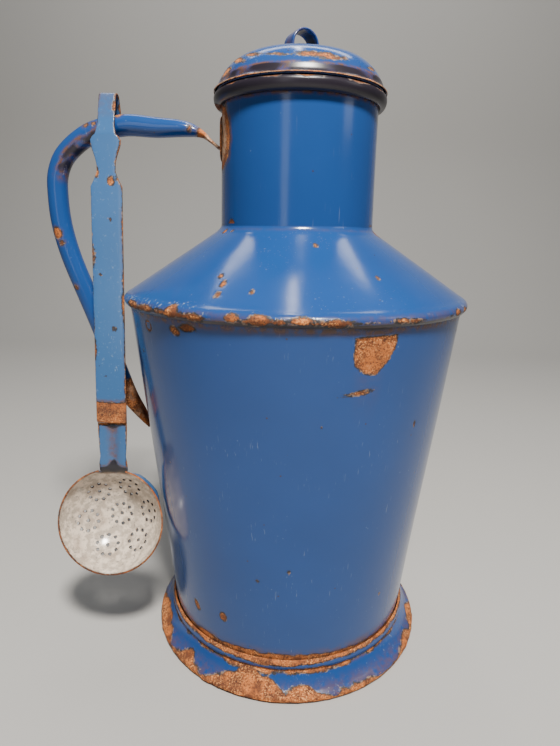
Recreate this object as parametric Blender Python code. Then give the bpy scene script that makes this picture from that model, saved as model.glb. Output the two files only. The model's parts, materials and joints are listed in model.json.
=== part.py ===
"""Enamelled steel can with a slip-in lid, a hollow tube handle and a skimmer hung on the handle.

Metres, +Z up. The can stands on z = 0 with its handle towards -X, and the skimmer's bowl faces -Y.
The origin is the middle of the footprint's box, so the can's own axis stands a little to its +X side.
Every piece is a pressed or rolled sheet, and pieces that touch keep a small gap between their meshes.
"""
import math

import bmesh
import bpy
from mathutils import Matrix, Vector

# Driving dimensions.
SHEET = 0.0012
GAP = 0.0003
SEGMENTS = 36
BOWL_SEGMENTS = 28

FOOT_RADIUS = 0.1135
BODY_FOOT = (0.0990, 0.0256)
BODY_TOP = (0.1258, 0.2744)
BODY_LOW_EDGE = 0.0200
BODY_HIGH_EDGE = 0.2795
SHOULDER_RADIUS = 0.1300
SHOULDER_EDGE_Z = 0.2812
SHOULDER_CORNER_Z = 0.2843
NECK_RADIUS = 0.0575
NECK_BASE_Z = 0.3310
MOUTH_RADIUS = 0.0622
MOUTH_TOP_Z = 0.4238
LID_TOP_Z = 0.4506
LID_RIM_RADIUS = 0.0628
KNOB_TOP_Z = 0.4670

HEM_CURL = 0.0024
HEM_WIRE = 0.0013
MOUTH_CURL = 0.0029
MOUTH_WIRE = 0.0018
CURL_SIDE = math.cos(math.radians(22.5))

HANDLE_TUBE = 0.00775
HANDLE_WALL = 0.0010
HANDLE_REACH = 0.1830

STRAP_SHEET = 0.0012
STRAP_HALF = 0.0117
HOOK_HALF = 0.0063
HOOK_X = 0.1395
HOOK_BEND = 0.0042
HOOK_TOP_Z = 0.4250
HOOK_CLEARANCE = 0.0094
STRAP_LEAN = math.radians(6.5)
STRAP_LOW_Z = 0.1830
TANG_TOP_Z = 0.2010
BOWL_RADIUS = 0.0410
BOWL_DEPTH = 0.0300
BOWL_SHEET = 0.0011
BOWL_TILT = math.radians(16.0)
BOWL_CENTRE = (-0.0545, 0.1075)
HOLE_RADIUS = 0.00115

# Half of what the handle reaches beyond the shoulder, on the other side.
AXIS_X = (HANDLE_REACH + HANDLE_TUBE - SHOULDER_RADIUS) / 2

BLUE = (0.030, 0.095, 0.330)
STRAP_BLUE = (0.110, 0.230, 0.430)
GREY_ENAMEL = (0.480, 0.470, 0.460)
BARE_STEEL = (0.450, 0.380, 0.300)
RUSTED_STEEL = (0.290, 0.120, 0.045)


def clear_scene():
    """Remove the objects that the file opened with."""
    for thing in list(bpy.data.objects):
        bpy.data.objects.remove(thing, do_unlink=True)


def make_material(name, colour, roughness, metallic):
    """One Principled material for one sub-part."""
    material = bpy.data.materials.new(name)
    material.use_nodes = True
    shader = material.node_tree.nodes["Principled BSDF"]
    shader.inputs["Base Color"].default_value = (*colour, 1.0)
    shader.inputs["Roughness"].default_value = roughness
    shader.inputs["Metallic"].default_value = metallic
    return material


def enamel(name, colour=BLUE):
    """Glossy fired enamel."""
    return make_material(name, colour, 0.18, 0.0)


def bare(name, colour=BARE_STEEL):
    """Steel that carries no enamel."""
    return make_material(name, colour, 0.70, 0.8)


def make_empty(name, location):
    """An empty that marks an axis, and carries the pieces round it."""
    empty = bpy.data.objects.new(name, None)
    bpy.context.collection.objects.link(empty)
    empty.location = location
    return empty


def finish_object(name, builder, material, parent):
    """Turn a bmesh into a named, smooth-shaded object under its parent."""
    bmesh.ops.recalc_face_normals(builder, faces=builder.faces)
    mesh = bpy.data.meshes.new(name)
    builder.to_mesh(mesh)
    builder.free()
    mesh.shade_smooth()
    mesh.set_sharp_from_angle(angle=math.radians(35))
    mesh.materials.append(material)
    thing = bpy.data.objects.new(name, mesh)
    bpy.context.collection.objects.link(thing)
    thing.parent = parent
    return thing


def arc(centre, radius, start_deg, end_deg, steps):
    """Points along an arc, both ends included."""
    points = []
    for step in range(steps + 1):
        angle = math.radians(start_deg + (end_deg - start_deg) * step / steps)
        points.append((centre[0] + radius * math.cos(angle), centre[1] + radius * math.sin(angle)))
    return points


def sheet_outline(path, thickness):
    """Both faces of a sheet that follows a path through its middle, as one run of points."""
    left = []
    right = []
    for index, point in enumerate(path):
        before = Vector(path[max(index - 1, 0)])
        here = Vector(point)
        after = Vector(path[min(index + 1, len(path) - 1)])
        incoming = (here - before) if index > 0 else (after - here)
        outgoing = (after - here) if index < len(path) - 1 else incoming
        incoming.normalize()
        outgoing.normalize()
        bisector = (incoming + outgoing).normalized()
        mitre = thickness / 2 / max(bisector.dot(incoming), 0.3)
        normal = Vector((-bisector.y, bisector.x))
        on_axis = point[0] == 0.0
        for side, sign in ((left, 1), (right, -1)):
            placed = here + normal * mitre * sign
            side.append((0.0 if on_axis else placed.x, placed.y))
    return left + right[::-1]


def turned(name, outline, material, parent, segments=SEGMENTS):
    """Spin an outline of (radius, height) points once round the parent's Z axis."""
    builder = bmesh.new()
    verts = [builder.verts.new((radius, 0.0, height)) for radius, height in outline]
    edges = []
    for index, vert in enumerate(verts):
        following = verts[(index + 1) % len(verts)]
        if vert.co.x > 0.0 or following.co.x > 0.0:
            edges.append(builder.edges.new((vert, following)))
    bmesh.ops.spin(
        builder, geom=verts + edges, cent=(0, 0, 0), axis=(0, 0, 1),
        angle=math.tau, steps=segments, use_merge=True,
    )
    bmesh.ops.remove_doubles(builder, verts=builder.verts, dist=1e-6)
    return finish_object(name, builder, material, parent)


def turned_sheet(name, path, material, parent, thickness=SHEET):
    """Spin a sheet that is given by the path through its middle."""
    return turned(name, sheet_outline(path, thickness), material, parent)


def join_rings(builder, rings, close=False):
    """Skin neighbouring rings of vertices, and cap the two ends unless they close on each other."""
    pairs = list(zip(rings, rings[1:]))
    if close:
        pairs.append((rings[-1], rings[0]))
    for first, second in pairs:
        for index in range(len(first)):
            following = (index + 1) % len(first)
            builder.faces.new((first[index], first[following], second[following], second[index]))
    if not close:
        builder.faces.new(rings[0][::-1])
        builder.faces.new(rings[-1])


def smooth_run(stations, steps):
    """A Catmull-Rom run through the stations, each a tuple of numbers."""
    run = []
    last = len(stations) - 1
    for index in range(last):
        before = Vector(stations[max(index - 1, 0)])
        start = Vector(stations[index])
        end = Vector(stations[index + 1])
        after = Vector(stations[min(index + 2, last)])
        for step in range(steps):
            t = step / steps
            run.append(
                start
                + (end - before) * 0.5 * t
                + (before - start * 2.5 + end * 2 - after * 0.5) * t * t
                + (start * 1.5 - before * 0.5 - end * 1.5 + after * 0.5) * t * t * t
            )
    run.append(Vector(stations[last]))
    return run


def body_radius(height):
    """Outer radius of the tapered body at a height."""
    share = (height - BODY_FOOT[1]) / (BODY_TOP[1] - BODY_FOOT[1])
    return BODY_FOOT[0] + share * (BODY_TOP[0] - BODY_FOOT[0])


def neck_radius(height):
    """Outer radius of the neck, which is very slightly tapered."""
    return NECK_RADIUS - 0.010 * (height - NECK_BASE_Z)


def curl_angles(start_deg, end_deg):
    """Corners of an eight-sided curl, which has a level side below and a plumb side outside."""
    steps = round(abs(end_deg - start_deg) / 45)
    return [start_deg + (end_deg - start_deg) * step / steps for step in range(steps + 1)]


def curl_points(centre, radius, start_deg, end_deg):
    """The middle line of a sheet curled round a wire."""
    return [arc(centre, radius, angle, angle, 1)[0] for angle in curl_angles(start_deg, end_deg)]


def make_body_wall(parent):
    """Tapered wall, from inside the foot ring to inside the shoulder's lip."""
    low = body_radius(BODY_LOW_EDGE)
    high = body_radius(BODY_HIGH_EDGE)
    outline = [
        (high, BODY_HIGH_EDGE),
        (low, BODY_LOW_EDGE),
        (low - SHEET, BODY_LOW_EDGE),
        (high - SHEET, BODY_HIGH_EDGE),
    ]
    return turned("body_wall", outline, enamel("body enamel"), parent)


def make_bottom_plate(parent):
    """Dished plate with an upturned flange, let into the body above the floor."""
    flange = body_radius(0.0215) - SHEET - GAP - SHEET / 2
    path = [
        (0.0, 0.0240),
        (0.0400, 0.0236),
        (0.0760, 0.0220),
        (flange - 0.0050, 0.0206),
        (flange - 0.0015, 0.0212),
        (flange, 0.0240),
        (flange + 0.0004, 0.0310),
    ]
    return turned_sheet("bottom_plate", path, enamel("bottom enamel", GREY_ENAMEL), parent)


def hem_centre():
    """Where the foot hem's wire runs, so that the curl stands on z = 0."""
    radius = FOOT_RADIUS - SHEET / 2 - HEM_CURL * CURL_SIDE
    height = SHEET / 2 + HEM_CURL * CURL_SIDE
    return radius, height


def make_foot_ring(parent):
    """Flared skirt: a band round the body's lower edge, a groove, and a hem curled round a wire."""
    centre = hem_centre()
    lap = body_radius(0.0256) + GAP + SHEET / 2
    path = [
        (lap, 0.0262),
        (lap + 0.0009, 0.0245),
        (lap + 0.0014, 0.0222),
        (lap + 0.0010, 0.0200),
        (lap + 0.0002, 0.0182),
        (lap + 0.0012, 0.0166),
        (lap + 0.0030, 0.0132),
        (lap + 0.0056, 0.0096),
        (centre[0] - 0.0022, centre[1] + 0.0040),
    ]
    path += curl_points(centre, HEM_CURL, 67.5, -202.5)
    return turned_sheet("foot_ring", path, enamel("foot enamel"), parent)


def make_wire(name, centre, radius, parent):
    """A wire ring that stiffens a curled edge."""
    outline = arc(centre, radius, 22.5, 22.5 + 315, 7)
    return turned(name, outline, bare(name + " steel"), parent)


def make_shoulder(parent):
    """Cone from the neck to a rolled lip that grips the top of the body."""
    slope = (NECK_BASE_Z - SHOULDER_CORNER_Z) / (SHOULDER_RADIUS - 0.0018 - NECK_RADIUS)
    drop = SHEET * math.hypot(1.0, slope)
    hole = NECK_RADIUS + GAP
    lip = body_radius(BODY_HIGH_EDGE) + GAP
    outline = [
        (hole, NECK_BASE_Z),
        (SHOULDER_RADIUS - 0.0018, SHOULDER_CORNER_Z),
        (SHOULDER_RADIUS - 0.0005, SHOULDER_CORNER_Z - 0.0012),
        (SHOULDER_RADIUS, SHOULDER_EDGE_Z),
        (SHOULDER_RADIUS - 0.0004, SHOULDER_EDGE_Z - 0.0020),
        (SHOULDER_RADIUS - 0.0017, SHOULDER_EDGE_Z - 0.0040),
        (lip + 0.0007, SHOULDER_EDGE_Z - 0.0046),
        (lip, SHOULDER_EDGE_Z - 0.0038),
        (lip, SHOULDER_EDGE_Z + 0.0010),
        (lip - 0.0012, NECK_BASE_Z - drop - slope * (lip - 0.0012 - hole)),
        (hole, NECK_BASE_Z - drop),
    ]
    return turned("shoulder_cone", outline, enamel("shoulder enamel"), parent)


def mouth_centre():
    """Where the mouth's wire runs, so that the curl has the mouth's radius and top."""
    radius = MOUTH_RADIUS - SHEET / 2 - MOUTH_CURL * CURL_SIDE
    height = MOUTH_TOP_Z - SHEET / 2 - MOUTH_CURL * CURL_SIDE
    return radius, height


def make_neck(parent):
    """Straight neck whose mouth is curled outwards round a wire."""
    centre = mouth_centre()
    low = NECK_BASE_Z - 0.0060
    path = [
        (neck_radius(low) - SHEET / 2, low),
        (neck_radius(0.4100) - SHEET / 2, 0.4100),
    ]
    path += curl_points(centre, MOUTH_CURL, 202.5, -67.5)
    path.append(arc(centre, MOUTH_CURL, -112.5, -112.5, 1)[0])
    return turned_sheet("neck_tube", path, enamel("neck enamel"), parent)


def lid_surface():
    """Middle line of the lid's sheet, from its crown to its free rim."""
    crown = LID_TOP_Z - SHEET / 2
    return [
        (0.0, crown),
        (0.0120, crown - 0.0002),
        (0.0240, crown - 0.0010),
        (0.0350, crown - 0.0028),
        (0.0430, crown - 0.0053),
        (0.0490, crown - 0.0088),
        (0.0540, crown - 0.0136),
        (0.0573, crown - 0.0184),
        (0.0584, crown - 0.0206),
        (0.0590, crown - 0.0224),
        (0.0602, crown - 0.0242),
        (LID_RIM_RADIUS - 0.0008, crown - 0.0253),
    ]


def make_lid_dome(parent, seat):
    """Domed cover with a coved band above its rim, in heights above the seat."""
    path = [(radius, height - seat) for radius, height in lid_surface()]
    return turned_sheet("lid_dome", path, enamel("lid enamel"), parent)


def make_lid_collar(parent, seat):
    """Sleeve that drops into the neck, and a flange that rests on the curled mouth."""
    sleeve = 0.0538
    flange = MOUTH_TOP_Z + GAP + SHEET / 2 - seat
    path = [
        (sleeve - 0.0004, flange - 0.0200),
        (sleeve, flange - 0.0180),
        (sleeve, flange - 0.0018),
    ]
    path += arc((sleeve + 0.0018, flange - 0.0018), 0.0018, 150, 90, 2)
    path.append((0.0594, flange))
    return turned_sheet("lid_collar", path, enamel("collar enamel"), parent)


def ribbon(name, stations, thickness, material, parent, groove=0.0, groove_half=0.0):
    """A flat strip along stations of (y, z, half width), with an optional pressed groove.

    The strip's width lies along X, and on a strip that runs down the groove sinks towards +Y.
    """
    builder = bmesh.new()
    rings = []
    for index, (y, z, half) in enumerate(stations):
        before = Vector(stations[max(index - 1, 0)][:2])
        after = Vector(stations[min(index + 1, len(stations) - 1)][:2])
        along = (after - before).normalized()
        normal = Vector((along.y, -along.x))
        across = [(-half, 0.0), (half, 0.0)]
        if groove:
            across[1:1] = [(-groove_half, 0.0), (0.0, -groove), (groove_half, 0.0)]
        front = [(x, depth - thickness / 2) for x, depth in across]
        back = [(x, depth + thickness / 2) for x, depth in across[::-1]]
        ring = []
        for x, offset in front + back:
            ring.append(builder.verts.new((x, y + normal.x * offset, z + normal.y * offset)))
        rings.append(ring)
    join_rings(builder, rings)
    return finish_object(name, builder, material, parent)


def make_lid_strap(parent, seat):
    """A strap bent into a loop, with two feet that lie on the lid's crown."""
    half = 0.0068
    thickness = 0.0014
    radius = 0.0108 - thickness / 2
    bend = KNOB_TOP_Z - thickness / 2 - radius - seat
    foot = LID_TOP_Z - seat + GAP + thickness / 2
    path = [(-0.0188, foot - 0.0003), (-0.0133, foot), (-0.0107, foot + 0.0012)]
    path += arc((0.0, bend), radius, 180, 0, 10)
    path += [(-y, z) for y, z in path[2::-1]]
    stations = [(y, z, half) for y, z in path]
    strap = ribbon("lid_strap", stations, thickness, enamel("lid strap enamel"), parent)
    strap.rotation_euler = (0.0, 0.0, math.radians(-60))
    return strap


# Middle line of the handle: distance from the can's axis, height, half height and half width.
HANDLE_STATIONS = [
    (0.0592, 0.3888, 0.0015, 0.0062),
    (0.0655, 0.3938, 0.0017, 0.0050),
    (0.0720, 0.3984, 0.0030, 0.0062),
    (0.0840, 0.4014, 0.0056, 0.0077),
    (0.1050, 0.4022, 0.0072, HANDLE_TUBE),
    (0.1300, 0.4032, HANDLE_TUBE, HANDLE_TUBE),
    (0.1550, 0.3972, HANDLE_TUBE, HANDLE_TUBE),
    (0.1735, 0.3835, HANDLE_TUBE, HANDLE_TUBE),
    (0.1815, 0.3690, HANDLE_TUBE, HANDLE_TUBE),
    (HANDLE_REACH, 0.3520, HANDLE_TUBE, HANDLE_TUBE),
    (0.1815, 0.3300, HANDLE_TUBE, HANDLE_TUBE),
    (0.1755, 0.3050, HANDLE_TUBE, HANDLE_TUBE),
    (0.1640, 0.2730, HANDLE_TUBE, HANDLE_TUBE),
    (0.1500, 0.2330, HANDLE_TUBE, HANDLE_TUBE),
    (0.1374, 0.1976, 0.0073, HANDLE_TUBE),
    (0.1275, 0.1810, 0.0048, 0.0078),
    (0.1190, 0.1692, 0.0015, 0.0070),
]


def make_handle(parent):
    """Hollow tube bent in a plane, flattened and open at both ends."""
    sides = 16
    run = smooth_run(HANDLE_STATIONS, 2)
    builder = bmesh.new()
    skins = []
    for wall in (0.0, HANDLE_WALL):
        rings = []
        for index, station in enumerate(run):
            before = run[max(index - 1, 0)]
            after = run[min(index + 1, len(run) - 1)]
            along = Vector((after[0] - before[0], after[1] - before[1])).normalized()
            normal = Vector((-along.y, along.x))
            ring = []
            for side in range(sides):
                angle = math.tau * side / sides
                rise = (station[2] - wall) * math.cos(angle)
                width = (station[3] - wall) * math.sin(angle)
                place = (-(station[0] + normal.x * rise), width, station[1] + normal.y * rise)
                ring.append(builder.verts.new(place))
            rings.append(ring)
        skins.append(rings)
    join_rings(builder, skins[0] + skins[1][::-1], close=True)
    return finish_object("handle_tube", builder, enamel("handle enamel"), parent)


def on_facet(radius, turn_deg):
    """Distance from the axis to a turned wall's flat facets, at an angle from one of its corners."""
    half = 180 / SEGMENTS
    within = turn_deg % (2 * half) - half
    return radius * math.cos(math.radians(half)) / math.cos(math.radians(within))


def make_pad(name, radius_at, centre_z, half_turn_deg, half_height, parent):
    """Oval plate that lies on a round wall, on the handle's side, and carries one end of the handle."""
    columns = 6
    thickness = 0.0010
    builder = bmesh.new()
    rings = []
    for column in range(columns + 1):
        share = 2 * column / columns - 1
        turn_deg = half_turn_deg * share
        turn = math.radians(turn_deg)
        half = half_height * max(math.sqrt(1 - share * share), 0.25)
        ring = []
        for rise, depth in ((-half, GAP), (half, GAP), (half, GAP + thickness), (-half, GAP + thickness)):
            height = centre_z + rise
            radius = on_facet(radius_at(height), turn_deg) + depth
            ring.append(builder.verts.new((-radius * math.cos(turn), radius * math.sin(turn), height)))
        rings.append(ring)
    join_rings(builder, rings)
    return finish_object(name, builder, bare(name + " steel", RUSTED_STEEL), parent)


def handle_height(reach):
    """Height of the handle's middle line over its upper run, at a distance from the can's axis."""
    run = smooth_run(HANDLE_STATIONS[:8], 24)
    nearest = min(run, key=lambda station: abs(station[0] - reach))
    return nearest[1]


def strap_line(height, pivot_z):
    """Where the leaning strap's middle is, front to back, at a height above the floor."""
    knee_y, knee_z = hook_knee(pivot_z)
    return knee_y - (pivot_z + knee_z - height) * math.tan(STRAP_LEAN)


def hook_angle(pivot_z):
    """How far the hook's two legs spread from upright, and how high its bend's centre is."""
    rise = HOOK_TOP_Z - pivot_z - HOOK_BEND - STRAP_SHEET / 2
    spread = math.asin((HOOK_CLEARANCE + STRAP_SHEET / 2 - HOOK_BEND) / rise)
    return spread, rise


def hook_leg(height, pivot_z):
    """Distance of a hook leg's middle line from the pivot's plane, at a height above the pivot."""
    spread, rise = hook_angle(pivot_z)
    return (HOOK_BEND + (rise - height) * math.sin(spread)) / math.cos(spread)


def hook_knee(pivot_z):
    """The bend between the hook's front leg and the straight strap, from the pivot."""
    knee_z = -0.0070
    return -hook_leg(knee_z, pivot_z), knee_z


def make_skimmer_strap(parent, pivot_z):
    """Strap with a hook over the handle, a lobe and a waist below it, and a plain lower end."""
    spread, rise = hook_angle(pivot_z)
    spread_deg = math.degrees(spread)
    stations = [(hook_leg(height, pivot_z), height, half) for height, half in (
        (-0.0040, 0.0046), (-0.0020, 0.0056), (0.0040, 0.0060))]
    bend = arc((0.0, rise), HOOK_BEND, spread_deg, 180 - spread_deg, 6)
    stations += [(y, z, HOOK_HALF) for y, z in bend]
    stations.append((-hook_leg(0.0060, pivot_z), 0.0060, HOOK_HALF))
    stations.append((-hook_leg(0.0000, pivot_z), 0.0000, HOOK_HALF))
    lower = [
        (0.3955, 0.0074), (0.3935, 0.0098), (0.3910, 0.0112), (0.3875, 0.0109), (0.3830, 0.0094),
        (0.3790, 0.0080), (0.3750, 0.0071), (0.3710, 0.0069), (0.3695, 0.0069),
        (0.3590, STRAP_HALF), (0.3000, STRAP_HALF), (0.2400, STRAP_HALF), (STRAP_LOW_Z, STRAP_HALF),
    ]
    stations += [(strap_line(z, pivot_z), z - pivot_z, half) for z, half in lower]
    return ribbon("skimmer_strap", stations, STRAP_SHEET, enamel("strap enamel", STRAP_BLUE), parent)


def make_tang(parent, pivot_z, material):
    """Grooved tang that laps behind the strap and runs into the top of the bowl."""
    behind = STRAP_SHEET + GAP
    rows = [
        (TANG_TOP_Z, behind, 0.0112),
        (0.1780, behind, 0.0112),
        (0.1620, behind, 0.0106),
        (0.1545, behind + 0.0004, 0.0100),
        (0.1480, behind + 0.0014, 0.0104),
        (0.1405, behind + 0.0030, 0.0108),
    ]
    stations = [(strap_line(z, pivot_z) + back, z - pivot_z, half) for z, back, half in rows]
    return ribbon("tang_guide", stations, BOWL_SHEET, material, parent, 0.0024, 0.0042)


def bowl_frame(pivot_z):
    """Place of the bowl: its local +Z points out of its mouth, and its local origin is the rim's middle."""
    place = Matrix.Translation((0.0, BOWL_CENTRE[0], BOWL_CENTRE[1] - pivot_z))
    return place @ Matrix.Rotation(math.pi / 2 - BOWL_TILT, 4, "X")


def make_hole_cutters(parent, place):
    """Seven rosettes of small holes, each a ring of nine round one in the middle."""
    ball = (BOWL_RADIUS ** 2 + BOWL_DEPTH ** 2) / (2 * BOWL_DEPTH)
    centre = Vector((0.0, 0.0, ball - BOWL_DEPTH))
    ring_radius = 0.0085
    rosette_turn = math.radians(11)
    rosette_polar = math.radians(35)
    poles = [Matrix.Identity(3)]
    for index in range(6):
        turn = Matrix.Rotation(rosette_turn + index * math.tau / 6, 3, "Z")
        poles.append(turn @ Matrix.Rotation(-rosette_polar, 3, "Y"))
    builder = bmesh.new()
    for pole in poles:
        spots = [(0.0, 0.0)] + arc((0.0, 0.0), ring_radius, 0, 320, 8)
        for u, v in spots:
            way = pole @ Vector((u, v, -ball)).normalized()
            aim = Vector((0.0, 0.0, 1.0)).rotation_difference(way).to_matrix().to_4x4()
            spot = Matrix.Translation(centre + way * ball) @ aim
            bmesh.ops.create_cone(
                builder, cap_ends=True, segments=6, radius1=HOLE_RADIUS, radius2=HOLE_RADIUS,
                depth=BOWL_SHEET * 4, matrix=place @ spot,
            )
    cutter = finish_object("hole_guide", builder, bpy.data.materials["strap enamel"], parent)
    return as_guide(cutter)


def as_guide(thing):
    """Mark an object as a guide for a Boolean, which isn't a piece itself."""
    thing.hide_render = True
    thing.display_type = "WIRE"
    return thing


def make_skimmer_bowl(parent, pivot_z):
    """Perforated round bowl, pressed in one piece with its grooved tang."""
    ball = (BOWL_RADIUS ** 2 + BOWL_DEPTH ** 2) / (2 * BOWL_DEPTH)
    edge_deg = math.degrees(math.asin(BOWL_RADIUS / ball))
    path = arc((0.0, ball - BOWL_DEPTH), ball, -90, -90 + edge_deg, 7)
    path[0] = (0.0, path[0][1])
    material = enamel("bowl enamel", GREY_ENAMEL)
    bowl = turned("skimmer_bowl", sheet_outline(path, BOWL_SHEET), material, parent, BOWL_SEGMENTS)
    place = bowl_frame(pivot_z)
    bowl.data.transform(place)
    tang = as_guide(make_tang(parent, pivot_z, material))
    for operation, other in (("UNION", tang), ("DIFFERENCE", make_hole_cutters(parent, place))):
        boolean = bowl.modifiers.new(operation.lower(), "BOOLEAN")
        boolean.operation = operation
        boolean.solver = "EXACT"
        boolean.object = other
    return bowl


def main():
    """Build the can, its lid and its skimmer."""
    clear_scene()
    can = make_empty("can_axis", (AXIS_X, 0.0, 0.0))
    make_body_wall(can)
    make_bottom_plate(can)
    make_foot_ring(can)
    make_wire("foot_wire", hem_centre(), HEM_WIRE, can)
    make_shoulder(can)
    make_neck(can)
    make_wire("mouth_wire", mouth_centre(), MOUTH_WIRE, can)
    make_handle(can)
    make_pad("handle_upper_pad", neck_radius, 0.3950, 15.0, 0.0155, can)
    make_pad("handle_lower_pad", body_radius, 0.1760, 6.0, 0.0170, can)

    lid = make_empty("lid_axis", (AXIS_X, 0.0, MOUTH_TOP_Z))
    make_lid_dome(lid, MOUTH_TOP_Z)
    make_lid_collar(lid, MOUTH_TOP_Z)
    make_lid_strap(lid, MOUTH_TOP_Z)

    pivot_z = handle_height(HOOK_X)
    skimmer = make_empty("hook_pivot", (AXIS_X - HOOK_X, 0.0, pivot_z))
    make_skimmer_strap(skimmer, pivot_z)
    make_skimmer_bowl(skimmer, pivot_z)


main()
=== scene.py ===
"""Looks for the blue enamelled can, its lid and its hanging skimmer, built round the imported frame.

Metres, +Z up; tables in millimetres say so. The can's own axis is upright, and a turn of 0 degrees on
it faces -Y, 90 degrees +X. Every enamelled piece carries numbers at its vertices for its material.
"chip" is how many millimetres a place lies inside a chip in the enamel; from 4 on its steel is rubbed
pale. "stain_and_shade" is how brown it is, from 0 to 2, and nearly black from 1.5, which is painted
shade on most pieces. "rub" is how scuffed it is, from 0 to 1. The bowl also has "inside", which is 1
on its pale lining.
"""
import json
import math
import random

import bmesh
import bpy
import numpy as np
from mathutils import Matrix, Vector, noise


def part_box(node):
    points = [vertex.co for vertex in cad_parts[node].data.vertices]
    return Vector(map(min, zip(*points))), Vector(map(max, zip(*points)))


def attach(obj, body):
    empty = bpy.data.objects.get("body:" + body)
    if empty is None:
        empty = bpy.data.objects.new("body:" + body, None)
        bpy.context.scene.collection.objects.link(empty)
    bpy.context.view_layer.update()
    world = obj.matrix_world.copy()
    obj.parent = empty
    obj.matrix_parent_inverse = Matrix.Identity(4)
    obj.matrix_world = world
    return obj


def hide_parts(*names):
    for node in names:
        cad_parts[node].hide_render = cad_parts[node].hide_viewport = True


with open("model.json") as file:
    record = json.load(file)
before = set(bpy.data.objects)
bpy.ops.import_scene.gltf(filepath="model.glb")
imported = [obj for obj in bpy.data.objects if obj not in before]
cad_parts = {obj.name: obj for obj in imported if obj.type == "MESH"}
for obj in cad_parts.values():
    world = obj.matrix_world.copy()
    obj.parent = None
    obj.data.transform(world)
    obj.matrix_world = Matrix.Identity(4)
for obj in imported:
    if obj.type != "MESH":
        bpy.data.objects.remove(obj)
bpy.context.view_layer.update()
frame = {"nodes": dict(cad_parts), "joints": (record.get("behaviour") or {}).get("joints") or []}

# The can's main sizes, read from the frame.
shoulder_low, shoulder_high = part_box("shoulder_cone")
foot_low, foot_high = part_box("foot_ring")
lid_low, lid_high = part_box("lid_dome")
neck_low, neck_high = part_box("neck_tube")
AXIS_X = (shoulder_low.x + shoulder_high.x) / 2
SHOULDER_RADIUS = (shoulder_high.x - shoulder_low.x) / 2
NECK_BASE_Z = shoulder_high.z
FOOT_RADIUS = (foot_high.x - foot_low.x) / 2
LID_TOP_Z = lid_high.z
MOUTH_RADIUS = (neck_high.x - neck_low.x) / 2
MOUTH_TOP_Z = neck_high.z

# Sheet sizes that the frame's boxes do not give.
SHEET = 0.0012
GAP = 0.0003
BODY_FOOT = (0.099, 0.0256)
BODY_TOP = (0.1258, 0.2744)
BODY_LOW_EDGE = 0.02
BODY_HIGH_EDGE = 0.2795
SHOULDER_EDGE_Z = 0.2812
SHOULDER_CORNER_Z = 0.2843
NECK_RADIUS = 0.0575
HEM_CURL = 0.0024
MOUTH_ROLL = 0.0035
ROLL_DROP = 1.6
GROOVE_Z = 0.018
UPPER_PAD_Z = 0.395
HOOK_X = AXIS_X - 0.1395
STRAP_SHEET = 0.0012
BOWL_RADIUS = 0.041
BOWL_DEPTH = 0.03
BOWL_SHEET = 0.0011
BOWL_TILT = math.radians(16.0)
BOWL_CENTRE = Vector((HOOK_X, -0.0545, 0.1075))
HOLE_RADIUS = 0.00125

# Turns from the front, in degrees, and depths of chips, in millimetres.
HANDLE_SIDE = -90.0
LARGE_CHIP_TURN = 22.8
FAR_OUTSIDE = -8.0
RUSTY_DEPTH = 3.0
CHIP_THROUGH = 20.0

BLUE = (0.011, 0.052, 0.195)
STRAP_BLUE = (0.036, 0.105, 0.245)
PALE_ENAMEL = (0.56, 0.47, 0.38)
GROUND_COAT = (0.022, 0.02, 0.023)


# --- Numbers on surfaces -------------------------------------------------------------------------

def noise_at(points, size, seed=0):
    """Smooth noise, about -1 to 1, whose bumps are about the given size."""
    shift = Vector((7.31, 3.17, 5.73)) * (seed + 1)
    return np.array([noise.noise(Vector(point) / size + shift) for point in points])


def smooth_step(values, low, high):
    """0 below low, 1 above high, and a soft S between."""
    share = np.clip((values - low) / (high - low), 0.0, 1.0)
    return share * share * (3 - 2 * share)


def on_can(turn_deg, radius, height):
    """A point at a turn from the front, a distance from the can's axis and a height."""
    turn = math.radians(turn_deg)
    return Vector((AXIS_X + radius * math.sin(turn), -radius * math.cos(turn), height))


def turn_of(points):
    """Turn from the front, in degrees, of each point."""
    return np.degrees(np.arctan2(points[:, 0] - AXIS_X, -points[:, 1]))


def turn_gap(points, turn_deg):
    """How far each point is turned from a turn, in degrees, from -180 to 180."""
    return (turn_of(points) - turn_deg + 180.0) % 360.0 - 180.0


def hump(values, width):
    """1 where the values are 0, falling off softly on both sides within about the width."""
    return np.exp(-(values / width) ** 2)


def from_here(radius, height, *rows):
    """Points (radius, height) that are given in millimetres from a radius and a height."""
    return [(radius + across / 1000, height + up / 1000) for across, up in rows]


def oval_chip(points, centre, half_width, half_height, turn_deg=0.0, lean_deg=0.0):
    """Millimetres inside an oval chip that faces a turn and leans. Its half sizes are in millimetres."""
    turn = math.radians(turn_deg)
    lean = math.radians(lean_deg)
    up = Vector((0, 0, 1))
    level = Vector((math.cos(turn), math.sin(turn), 0))
    out = Vector((math.sin(turn), -math.cos(turn), 0))
    across = level * math.cos(lean) + up * math.sin(lean)
    along = up * math.cos(lean) - level * math.sin(lean)
    offset = (points - np.array(centre)) * 1000
    u = offset @ np.array(across) / half_width
    v = offset @ np.array(along) / half_height
    w = offset @ np.array(out) / CHIP_THROUGH
    return (1 - np.sqrt(u * u + v * v + w * w)) * min(half_width, half_height)


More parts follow.
